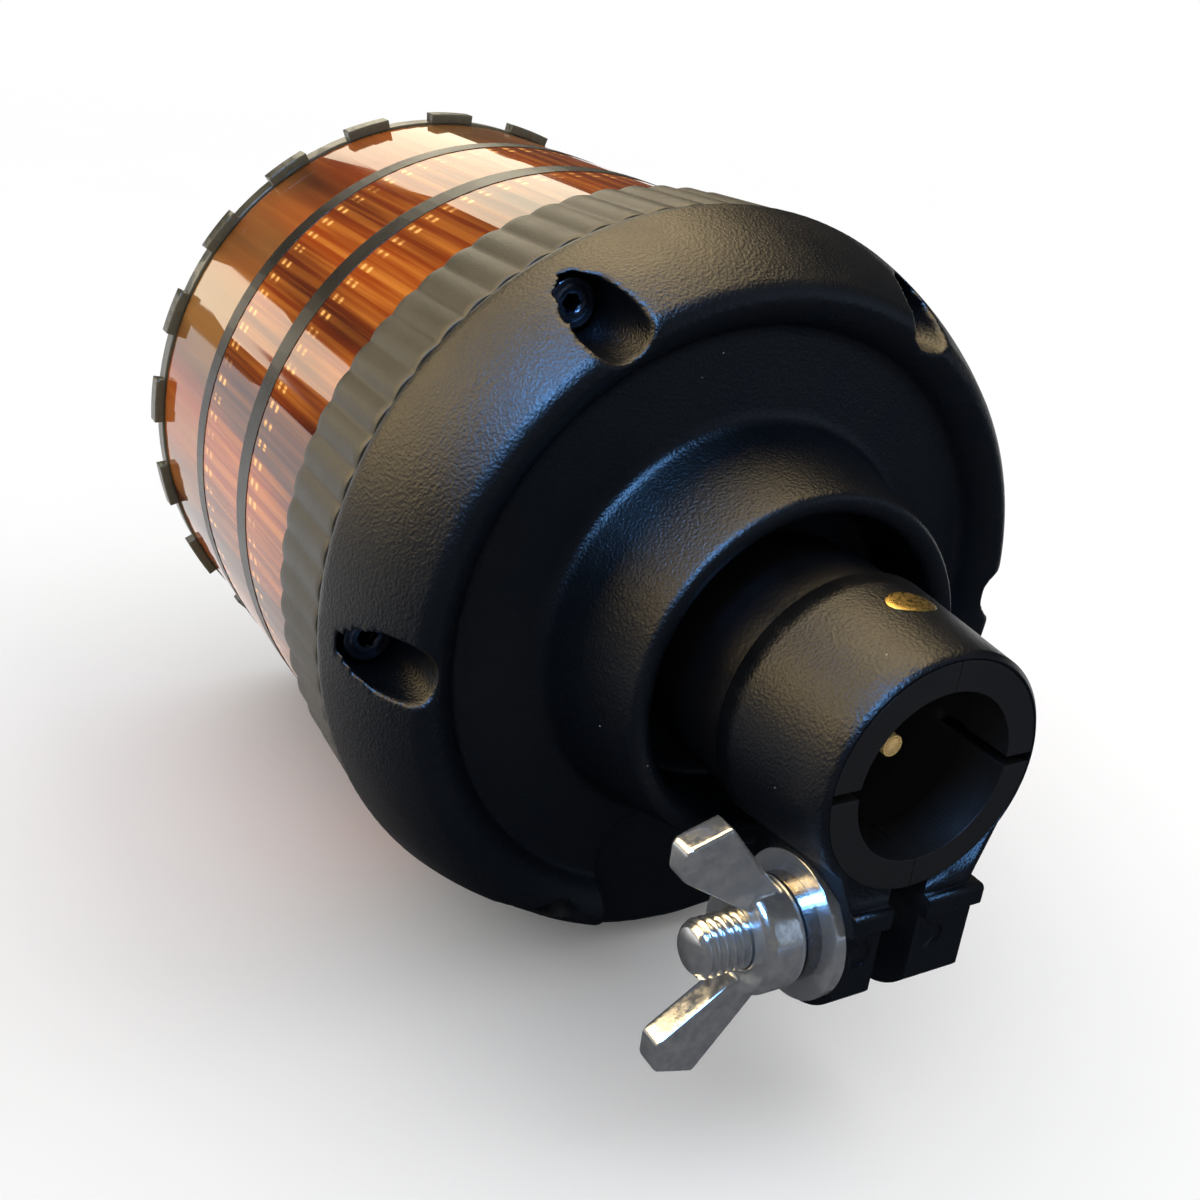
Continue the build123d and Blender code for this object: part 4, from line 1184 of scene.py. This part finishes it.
@dataclass
class Studio:
    """Camera, pale table, room light and soft boxes."""

    camera_place: Point = (88.95, -122.43, -109.58)
    camera_right: Point = (0.1125, 0.8646, -0.4897)
    camera_up: Point = (0.9068, 0.1122, 0.4064)
    lens_length: float = 43.07
    sensor_width: float = 36.0
    target: Point = (0.0, 0.0, 60.0)
    floor_offset: float = -59.3
    floor_half_size: float = 3000.0
    floor_fade: tuple[float, float] = (350.0, 1300.0)
    # Below these heights the table's reflections are painted dark: a painted shade.
    painted_shade_heights: tuple[float, float] = (60.0, 150.0)
    painted_shade_paper: Colour = (0.03, 0.035, 0.05)
    papers: tuple[Colour, Colour] = ((0.93, 0.93, 0.93), (0.96, 0.96, 0.96))
    room_for_diffuse: float = 1.0
    room_for_gloss: float = 0.05
    room_for_transmission: float = 0.10
    room_for_camera: float = 1.0
    boxes: tuple[SoftBox, ...] = (
        SoftBox("warm_wall", (-0.80, 0.58, 0.22), 650.0, 650.0, 6.0, (1.0, 0.74, 0.38), Reach.GLOSS),
        SoftBox("warm_ceiling", (-0.05, 0.97, 0.05), 750.0, 650.0, 7.0, (1.0, 0.76, 0.42), Reach.GLOSS),
        SoftBox("blue_window", (-0.22, 0.58, 0.78), 330.0, 230.0, 75.0, (0.18, 0.46, 1.0), Reach.GLOSS),
        SoftBox("right_wall", (1.0, 0.10, 0.30), 600.0, 600.0, 0.5, (0.5, 0.7, 1.0), Reach.GLOSS),
        SoftBox("far_window", (-0.20, 0.73, -0.66), 300.0, 460.0, 2.5, (1.0, 0.90, 0.68), Reach.GLOSS),
        SoftBox("far_door", (-0.75, 0.45, -0.49), 120.0, 260.0, 2.4, (1.0, 0.90, 0.70), Reach.GLOSS),
        SoftBox("low_window", (0.70, -0.55, 0.30), 500.0, 500.0, 0.8, (0.25, 0.50, 1.0), Reach.GLOSS),
        SoftBox("key", (0.70, 0.90, 0.30), 500.0, 500.0, 1.8, (1.0, 1.0, 1.0), Reach.SHADE),
    )

    def build(self) -> None:
        """Sets up the studio."""
        bpy.context.scene.view_settings.view_transform = "Standard"
        self.camera()
        self.world()
        self.floor()
        for box in self.boxes:
            self.light(box)

    def basis(self) -> Matrix:
        """The camera's right, up and back as the columns of a matrix.

        Returns:
            The matrix.
        """
        right = Vector(self.camera_right).normalized()
        up = Vector(self.camera_up).normalized()
        back = right.cross(up).normalized()
        return Matrix((right, back.cross(right), back)).transposed()

    def camera(self) -> None:
        """Camera at the photograph's place."""
        data = bpy.data.cameras.new("camera")
        data.lens = self.lens_length
        data.sensor_width = self.sensor_width
        data.clip_start = mm(5.0)
        data.clip_end = mm(20000.0)
        item = add("camera", data)
        item.matrix_world = Matrix.Translation(Vector(self.camera_place) * 0.001) @ self.basis().to_4x4()
        bpy.context.scene.camera = item

    def world(self) -> None:
        """White room that shows less in glossy surfaces than it lights."""
        world = bpy.data.worlds.new("white_room")
        world.use_nodes = True
        wiring = Wiring(world.node_tree)
        path = wiring.node("ShaderNodeLightPath").outputs
        shares = {}
        for label, strength in (("Is Diffuse Ray", self.room_for_diffuse),
                                ("Is Glossy Ray", self.room_for_gloss),
                                ("Is Transmission Ray", self.room_for_transmission),
                                ("Is Camera Ray", self.room_for_camera)):
            values = {"Color": (1.0, 1.0, 1.0, 1.0), "Strength": strength}
            shares[label] = wiring.node("ShaderNodeBackground", values)
        shown = shares.pop("Is Diffuse Ray").outputs[0]
        for label, share in shares.items():
            mix = wiring.node("ShaderNodeMixShader", {0: path[label], 1: shown, 2: share.outputs[0]})
            shown = mix.outputs[0]
        wiring.node("ShaderNodeOutputWorld", {0: shown})
        world.cycles.sampling_method = "NONE"
        bpy.context.scene.world = world

    def floor(self) -> None:
        """Pale table beside the lying beacon, open from behind, with a painted shade in what glossy surfaces
        see of it towards the socket end.
        """
        size, place = self.floor_half_size, self.floor_offset
        corners = [(place, -size, -size), (place, size, -size), (place, size, size), (place, -size, size)]
        item = shape("table", corners, [[0, 1, 2, 3]])
        if item.data.polygons[0].normal.x < 0.0:
            item.data.flip_normals()
        bench = Bench("table_paper")
        colour = bench.blend(bench.noise(60.0), *self.papers)
        # Painted shade: glossy rays see the table dark towards the socket end.
        height = bench.node("ShaderNodeSeparateXYZ", {0: bench.place}).outputs["Z"]
        near = bench.remap(height, *(mm(value) for value in self.painted_shade_heights), 1.0, 0.0)
        path = bench.node("ShaderNodeLightPath").outputs
        colour = bench.blend(bench.math("MULTIPLY", near, path["Is Glossy Ray"]), colour, self.painted_shade_paper)
        paper = bench.node("ShaderNodeBsdfDiffuse", {"Color": colour})
        clear = bench.node("ShaderNodeBsdfTransparent")
        behind = bench.node("ShaderNodeNewGeometry").outputs["Backfacing"]
        away = bench.node("ShaderNodeVectorMath", {0: bench.place}, operation="LENGTH").outputs["Value"]
        distant = bench.remap(away, *(mm(value) for value in self.floor_fade), 0.0, 1.0)
        faded = bench.math("MULTIPLY", path["Is Camera Ray"], distant)
        open_share = bench.math("MAXIMUM", behind, faded)
        both = bench.node("ShaderNodeMixShader", {0: open_share, 1: paper.outputs[0], 2: clear.outputs[0]})
        bench.feed(bench.output.inputs["Surface"], both.outputs[0])
        item.data.materials.append(bench.material)

    def light(self, box: SoftBox) -> None:
        """Hangs one soft box.

        Args:
            box: The soft box.
        """
        data = bpy.data.lights.new(box.name, "AREA")
        data.shape = "RECTANGLE"
        data.size, data.size_y = mm(box.width), mm(box.height)
        data.energy = box.glow * math.pi * data.size * data.size_y
        data.color = box.colour
        item = add(box.name, data)
        direction = (self.basis() @ Vector(box.direction)).normalized()
        item.location = (Vector(self.target) + direction * box.distance) * 0.001
        item.rotation_euler = direction.to_track_quat("Z", "Y").to_euler()
        item.visible_camera = False
        item.visible_diffuse = box.reach is not Reach.GLOSS
        item.visible_transmission = box.reach is not Reach.GLOSS
        item.visible_glossy = box.reach is not Reach.SHADE


def main() -> None:
    """Dresses the beacon and sets up its studio."""
    logging.basicConfig(level=logging.INFO, format="%(name)s: %(message)s")
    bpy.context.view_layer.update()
    nodes = FRAME["nodes"]
    ring_array, rib_wave = RingArray(), RibWave()
    Studio().build()
    assemblies = [
        (ClampSocket(nodes), ()), (ClampHardware(nodes), ()), (FlexibleStem(nodes), ()),
        (BaseHousing(nodes), (ring_array,)), (CollarRing(nodes), (rib_wave,)),
        (LensTube(nodes), (ring_array,)), (TopCap(nodes), ()), (LightEngine(nodes), ()),
    ]
    for assembly, trees in assemblies:
        assembly.build(*trees)
        assembly.report()


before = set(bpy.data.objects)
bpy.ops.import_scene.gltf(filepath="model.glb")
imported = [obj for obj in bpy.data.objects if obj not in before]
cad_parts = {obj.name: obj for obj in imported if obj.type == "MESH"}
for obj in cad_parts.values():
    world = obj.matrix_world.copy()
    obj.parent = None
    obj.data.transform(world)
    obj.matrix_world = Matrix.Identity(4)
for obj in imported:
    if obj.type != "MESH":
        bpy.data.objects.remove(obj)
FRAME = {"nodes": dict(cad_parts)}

if __name__ == "__main__":
    main()
